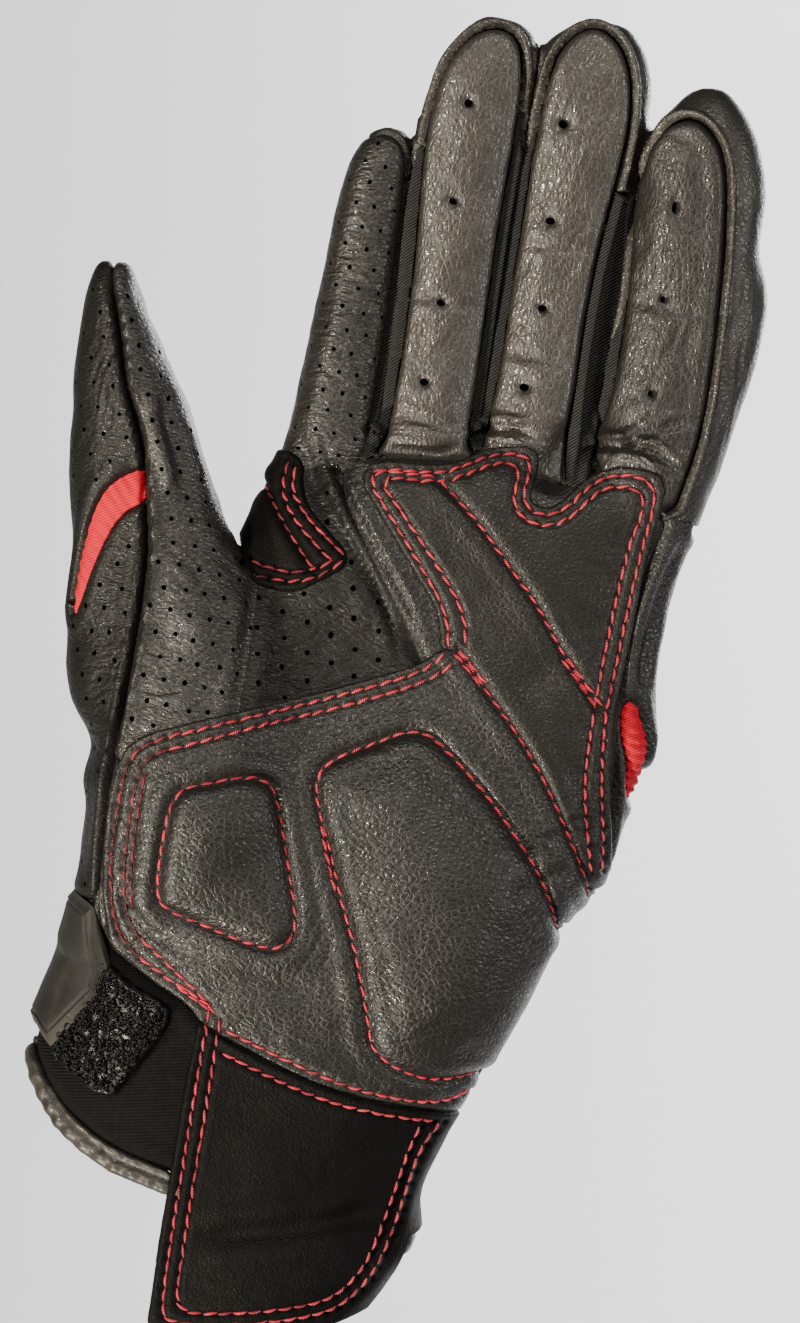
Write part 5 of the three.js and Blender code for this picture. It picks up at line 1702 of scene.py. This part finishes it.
def strap():
    """The leather wrist strap, which runs round the back and shows its end on the palm side."""
    band = both(inside(SKIN, STRAP_BAND, 1), -palm_side(SKIN, 4))
    skin = cut_out(SKIN, either(band, inside(SKIN, STRAP_FRONT, 1)), 0)
    edge = border_distance(skin)
    groove = bell(edge - 2.4, 0.6)
    points, faces = raised_shell(skin, 0.2 + 1.4 * roll(edge, 1.2) - 0.3 * groove, -0.05)
    # Painted shade in the groove along the edge, tinted red by the patch leather's seam colour
    attributes = {"edge": np.concatenate([edge, edge]), "groove": np.concatenate([groove, groove])}
    made = add_mesh("wrist_strap_leather", points, faces, MATERIALS["patch"], attributes)
    finish_piece(made, "wrist_strap")


def hook_patch():
    skin = cut_out(SKIN, both(inside(SKIN, HOOK_PATCH, 1), palm_side(SKIN)), 1)
    edge = border_distance(skin)
    shift = 0.15 + 1.9 * roll(edge, 0.8) + 0.16 * noise(skin.points, 1.6, 81)
    points, faces = raised_shell(skin, shift, 0.3)
    attributes = {"edge": np.concatenate([edge, edge])}
    made = add_mesh("hook_patch_fabric", points, faces, MATERIALS["hook"], attributes)
    finish_piece(made, "hook_patch")
    corner = skin.points[skin.faces]
    across = face_normals(skin.points, skin.faces)
    area = np.linalg.norm(across, axis=1)
    inner_faces = np.flatnonzero(edge[skin.faces].min(axis=1) > 0.5)
    chance = area[inner_faces] / area[inner_faces].sum()
    chosen = random.choice(inner_faces, LOOP_COUNT, p=chance)
    share = random.dirichlet((1, 1, 1), LOOP_COUNT)
    places = (corner[chosen] * share[:, :, None]).sum(axis=1)
    out = across[chosen] / area[chosen][:, None] + random.normal(0, 0.35, (LOOP_COUNT, 3))
    out /= np.linalg.norm(out, axis=1, keepdims=True)
    angle = random.uniform(0, 2 * np.pi, LOOP_COUNT)
    along = np.stack([np.cos(angle), 0.2 * np.sin(angle), np.sin(angle)], axis=1)
    size = random.uniform(0.6, 1.35, LOOP_COUNT)
    marks = points_object("loop places", places, along, out, {"size": size})
    loops = grown(marks, TREES["loops"], {"Material": MATERIALS["hook"]}, "hook_loops")
    finish_piece(loops, None)


def strap_tab():
    """The rubber end of the strap: a bevelled plate with bare moulded facets."""
    skin = cut_out(SKIN, both(inside(SKIN, STRAP_END, 0), palm_side(SKIN, 8)), 2)
    edge = border_distance(skin)
    chamfer = np.clip(edge / 1.5, 0, 1)
    ridge, _ = path_profile(skin.plan, TAB_RIDGE, 12)
    slope = 0.6 * np.clip(ridge / 5, 0, 1)
    shift = 2.0 + 1.3 * chamfer + 0.6 - slope - 0.3 * bell(edge - 1.9, 0.3)
    shift -= 1.6 * eased((skin.points[:, 2] - 58) / 10)
    points, faces = raised_shell(skin, shift, -0.4)
    made = add_mesh("strap_tab_rubber", points, faces, MATERIALS["rubber"],
                    {"edge": np.concatenate([edge, edge])}, sharp=40)
    finish_piece(made, "strap_tab")


# Threads on the thumb's side of this line are darker
DARKER_THREAD_SIDE = -38.5
DARKER_THREAD_SHARE = 0.2


def stitches():
    """Every row of red thread, each stitch let into the leather at both ends."""
    points = np.concatenate([p for p, _ in SEWN])
    offset = np.cumsum([0] + [len(p) for p, _ in SEWN[:-1]])
    tree = ray_tree(points, np.concatenate([f + o for (_, f), o in zip(SEWN, offset)]))
    places, along, out, shades = [], [], [], []
    for name, needles in NEEDLES.items():
        shade = STITCH_ROWS[name][3]
        for first, second in zip(needles[:-1], needles[1:]):
            ends = [seen_from_palm(tree, p[0], p[2]) for p in (first, second)]
            if ends[0][0] is None or ends[1][0] is None:
                continue
            middle = (first + second) / 2
            place, normal = seen_from_palm(tree, middle[0], middle[2])
            if place is None:
                continue
            direction = ends[1][0] - ends[0][0]
            direction /= np.linalg.norm(direction)
            side = np.cross(normal, direction)
            direction = direction + side * random.normal(0.13, 0.07)
            places.append(place)
            along.append(direction / np.linalg.norm(direction))
            out.append(normal)
            thread_dimming = DARKER_THREAD_SHARE if place[0] < DARKER_THREAD_SIDE else 1.0
            # Partly painted shade of the row's place, with a random spread; the thumb side is darker still
            shades.append(np.clip(shade * thread_dimming + random.normal(0, 0.2), 0, 1))
    marks = points_object("stitch places", places, along, out, {"shade": shades})
    made = grown(marks, TREES["stitches"], {"Material": MATERIALS["thread"]}, "red_stitches")
    finish_piece(made, None)


def plain_material(name, shade, roughness):
    """A matt surface with a faint haze."""
    material, tree = new_material(name)
    shader = tree.nodes["Principled BSDF"]
    haze = clouds(tree, object_place(tree), 1.5, 2.0)
    darker = tuple(c * 0.94 for c in shade[:3]) + (1,)
    tree.links.new(mixed(tree, haze, darker, shade), shader.inputs["Base Color"])
    shader.inputs["Roughness"].default_value = roughness
    return material


def backdrop():
    """A pale sweep far behind and below the glove."""
    steps = [(0.1, -0.5), (1.6, -0.5)]
    steps += [(1.6 + 1.0 * math.sin(t), 0.5 - 1.0 * math.cos(t)) for t in np.linspace(0.15, math.pi / 2, 12)]
    steps += [(2.6, 3.5)]
    points = [(x, y, z) for y, z in steps for x in (-4, 4)]
    faces = [(2 * i, 2 * i + 1, 2 * i + 3, 2 * i + 2) for i in range(len(steps) - 1)]
    mesh = bpy.data.meshes.new("sweep")
    mesh.from_pydata(points, [], faces)
    mesh.shade_smooth()
    mesh.materials.append(plain_material("pale sweep", colour(232, 232, 234), 0.9))
    sweep = placed_object("sweep", mesh)


# Lamps: name, place, target, size, power, tint
WARM = (1.0, 0.91, 0.76)
WHITE = (1.0, 1.0, 1.0)
LAMPS = [
    ("key", (-0.46, -0.54, -0.66), (0.0, 0.0, 0.09), 0.1, 17.0, WARM),
    ("front", (-0.48, -0.62, 0.12), (0.0, 0.0, 0.2), 0.09, 5.6, WARM),
    ("upper", (0.1, -0.8, 0.7), (0.0, 0.0, 0.18), 0.5, 3.8, (1.0, 0.94, 0.84)),
    ("fill", (0.9, -0.5, 0.3), (0.0, 0.0, 0.14), 0.6, 4.0, (1.0, 0.96, 0.9)),
    ("rim", (0.5, 0.7, 0.5), (0.0, 0.0, 0.12), 0.6, 6.0, WHITE),
    ("backdrop", (1.0, 1.1, 1.4), (1.3, 2.6, 0.3), 1.4, 126.0, WHITE),
]


def studio():
    """The backdrop, the lamps, with the key light low on the left, and a dim sky."""
    backdrop()
    for name, place, target, size, power, tint in LAMPS:
        lamp = bpy.data.lights.new(name, "AREA")
        lamp.shape = "DISK"
        lamp.size = size
        lamp.energy = power
        lamp.color = tint
        holder = placed_object(name, lamp)
        holder.location = place
        aim = Vector(target) - Vector(place)
        holder.rotation_euler = aim.to_track_quat("-Z", "Y").to_euler()
    world = bpy.data.worlds.new("world")
    world.use_nodes = True
    sky = world.node_tree.nodes["Background"]
    sky.inputs["Color"].default_value = (1.0, 0.97, 0.92, 1)
    sky.inputs["Strength"].default_value = 0.12
    bpy.context.scene.world = world


cut_panels(SKIN)
patches()
cuff()
strap()
hook_patch()
strap_tab()
stitches()
studio()
